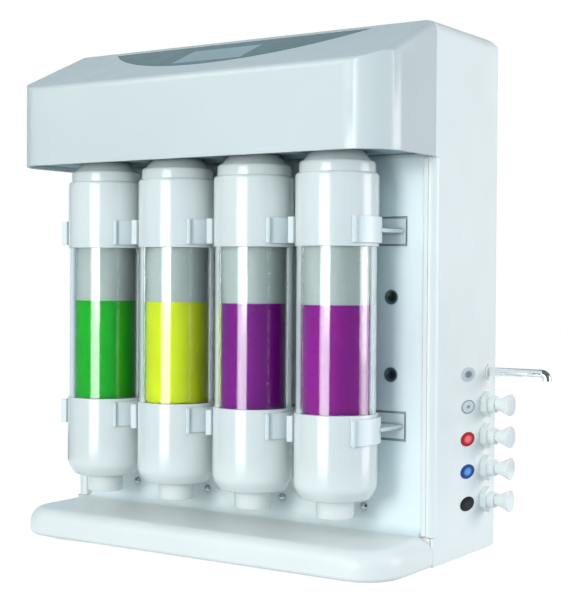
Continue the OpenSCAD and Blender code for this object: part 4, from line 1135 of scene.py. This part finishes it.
class BuildStage(bpy.types.Operator):
    """Builds the floor, backdrop, lights and camera"""

    bl_idname = "water_unit.build_stage"
    bl_label = "Stage"

    def execute(self, context):
        stage = context.scene.water_unit.stage
        self.floor(context, stage)
        self.backdrop(context, stage)
        self.lights(context, stage)
        self.fill(context, stage)
        self.camera(context, stage)
        context.scene.view_settings.view_transform = "Standard"
        context.scene.view_settings.look = "None"
        return {"FINISHED"}

    def staged(self, context, name, shape, material):
        """Makes a shape a thing of the stage, which is no part of the unit."""
        mesh = bpy.data.meshes.new(name)
        shape.to_mesh(mesh)
        shape.free()
        mesh.materials.append(material)
        thing = bpy.data.objects.new(name, mesh)
        context.scene.collection.objects.link(thing)
        return thing

    def floor(self, context, stage):
        """A round pale floor that throws no light back on the unit's matt faces."""
        shape = bmesh.new()
        bmesh.ops.create_circle(
            shape, cap_ends=True, segments=FLOOR_SIDES, radius=stage.floor_radius
        )
        material = glowing_plastic(
            "floor_pale", stage.floor_pale, stage.backdrop_pale, stage.floor_glow
        )
        floor = self.staged(context, "floor", shape, material)
        floor.visible_diffuse = False

    def backdrop(self, context, stage):
        """A white sphere round everything, which only the camera sees."""
        shape = bmesh.new()
        bmesh.ops.create_icosphere(
            shape, subdivisions=BACKDROP_SUBDIVISIONS, radius=stage.backdrop_radius
        )
        bmesh.ops.reverse_faces(shape, faces=shape.faces)
        material = glowing_plastic(
            "backdrop_pale", (0, 0, 0), stage.backdrop_pale, stage.backdrop_glow
        )
        backdrop = self.staged(context, "backdrop", shape, material)
        backdrop.visible_diffuse = False
        backdrop.visible_glossy = False
        backdrop.visible_transmission = False
        backdrop.visible_shadow = False

    def softbox(self, context, name, colour, power, place, target, size, matt=True, gloss=True):
        """A rectangular light that reaches matt faces, shows in glossy ones, or both."""
        light = bpy.data.lights.new(name, "AREA")
        light.shape = "RECTANGLE"
        light.size, light.size_y = size
        light.energy = power
        light.color = colour
        lamp = bpy.data.objects.new(name, light)
        lamp.location = place
        towards = Vector(target) - Vector(place)
        lamp.rotation_euler = towards.to_track_quat("-Z", "Y").to_euler()
        lamp.visible_camera = False
        lamp.visible_diffuse = matt
        lamp.visible_glossy = gloss
        context.scene.collection.objects.link(lamp)

    def lights(self, context, stage):
        """Softboxes, most of them split into one for matt light and one for mirrored light."""
        key, side, fill = stage.key_white, stage.side_white, stage.fill_blue
        front, right, low, high = (0, 0, 0.25), (0.1, -0.03, 0.22), (0, 0, 0.1), (0, 0, 0.4)
        self.softbox(
            context, "front_strip", key, power=20,
            place=(0, -1.75, 0.25), target=front, size=(0.85, 0.95), matt=False,
        )
        self.softbox(
            context, "front_key", key, power=13,
            place=(0.16, -1.75, 0.40), target=front, size=(0.5, 0.5), gloss=False,
        )
        self.softbox(
            context, "front_fill", fill, power=5,
            place=(0.9, -1.5, 0.9), target=front, size=(1.0, 0.8), gloss=False,
        )
        self.softbox(
            context, "right_strip", side, power=8,
            place=(1.13, 0.58, 0.22), target=right, size=(0.6, 0.9), matt=False,
        )
        self.softbox(
            context, "right_key", side, power=8.4,
            place=(1.1, 0.70, 0.40), target=right, size=(0.9, 0.6), gloss=False,
        )
        self.softbox(
            context, "left_card", key, power=4,
            place=(-1.0, -1.5, 1.15), target=front, size=(0.8, 0.8),
        )
        self.softbox(
            context, "high_card", key, power=7.5,
            place=(-0.9, -1.5, 1.7), target=front, size=(1.6, 1.0), matt=False,
        )
        self.softbox(
            context, "rear_card", fill, power=4.5,
            place=(-1.3, 1.2, 0.35), target=low, size=(1.8, 0.9), matt=False,
        )
        self.softbox(
            context, "roof_card", fill, power=3.2,
            place=(-0.94, 0.80, 1.47), target=high, size=(1.6, 1.2),
        )

    def fill(self, context, stage):
        """Soft light from all round, which glossy faces don't mirror."""
        world = bpy.data.worlds.new("studio_fill")
        context.scene.world = world
        world.use_nodes = True
        background = world.node_tree.nodes["Background"]
        background.inputs["Color"].default_value = (*stage.fill_blue, 1)
        background.inputs["Strength"].default_value = stage.fill_strength
        world.cycles_visibility.glossy = False

    def camera(self, context, stage):
        """A camera at its place, turned to the left, dipped and rolled."""
        turn, dip, roll = stage.camera_turn, stage.camera_dip, stage.camera_roll
        ahead = Vector(
            (
                -math.sin(turn) * math.cos(dip),
                math.cos(turn) * math.cos(dip),
                -math.sin(dip),
            )
        )
        level = Vector((math.cos(turn), math.sin(turn), 0))
        upright = level.cross(ahead)
        right = math.cos(roll) * level + math.sin(roll) * upright
        up = math.cos(roll) * upright - math.sin(roll) * level
        pose = Matrix((right, up, -ahead)).transposed().to_4x4()
        pose.translation = stage.camera_place
        view = bpy.data.cameras.new("photo_camera")
        view.lens = stage.lens
        view.sensor_width = SENSOR_WIDTH
        camera = bpy.data.objects.new("photo_camera", view)
        camera.matrix_world = pose
        context.scene.collection.objects.link(camera)
        context.scene.camera = camera


# Registration


class WaterUnitPanel(bpy.types.Panel):
    """Lists the operators in the order in which they run"""

    bl_idname = "VIEW3D_PT_water_unit"
    bl_label = "Water Unit"
    bl_space_type = "VIEW_3D"
    bl_region_type = "UI"
    bl_category = "Water Unit"

    def draw(self, context):
        for operator in OPERATORS:
            self.layout.operator(operator.bl_idname)


OPERATORS = (
    MakeFinishes,
    BuildHousing,
    BuildDisplay,
    BuildClips,
    BuildCartridges,
    BuildPorts,
    BuildSpout,
    BuildMarkers,
    BuildScrews,
    BuildRearFittings,
    DressInnerWorks,
    BuildStage,
)
CLASSES = (
    HousingSettings,
    CartridgeSettings,
    FittingSettings,
    InnerSettings,
    StageSettings,
    WaterUnitSettings,
    *OPERATORS,
    WaterUnitPanel,
)


def register():
    """Makes the classes and the scene's settings known to Blender."""
    for cls in CLASSES:
        bpy.utils.register_class(cls)
    bpy.types.Scene.water_unit = bpy.props.PointerProperty(
        name="Water Unit", description="Settings of the unit", type=WaterUnitSettings
    )


def unregister():
    """Takes the scene's settings and the classes out again."""
    del bpy.types.Scene.water_unit
    for cls in reversed(CLASSES):
        bpy.utils.unregister_class(cls)


def main():
    """Builds the unit and its stage."""
    register()
    bpy.ops.water_unit.make_finishes()
    bpy.ops.water_unit.build_housing()
    bpy.ops.water_unit.build_display()
    bpy.ops.water_unit.build_clips()
    bpy.ops.water_unit.build_cartridges()
    bpy.ops.water_unit.build_ports()
    bpy.ops.water_unit.build_spout()
    bpy.ops.water_unit.build_markers()
    bpy.ops.water_unit.build_screws()
    bpy.ops.water_unit.build_rear_fittings()
    bpy.ops.water_unit.dress_inner_works()
    bpy.ops.water_unit.build_stage()


if __name__ == "__main__":
    main()
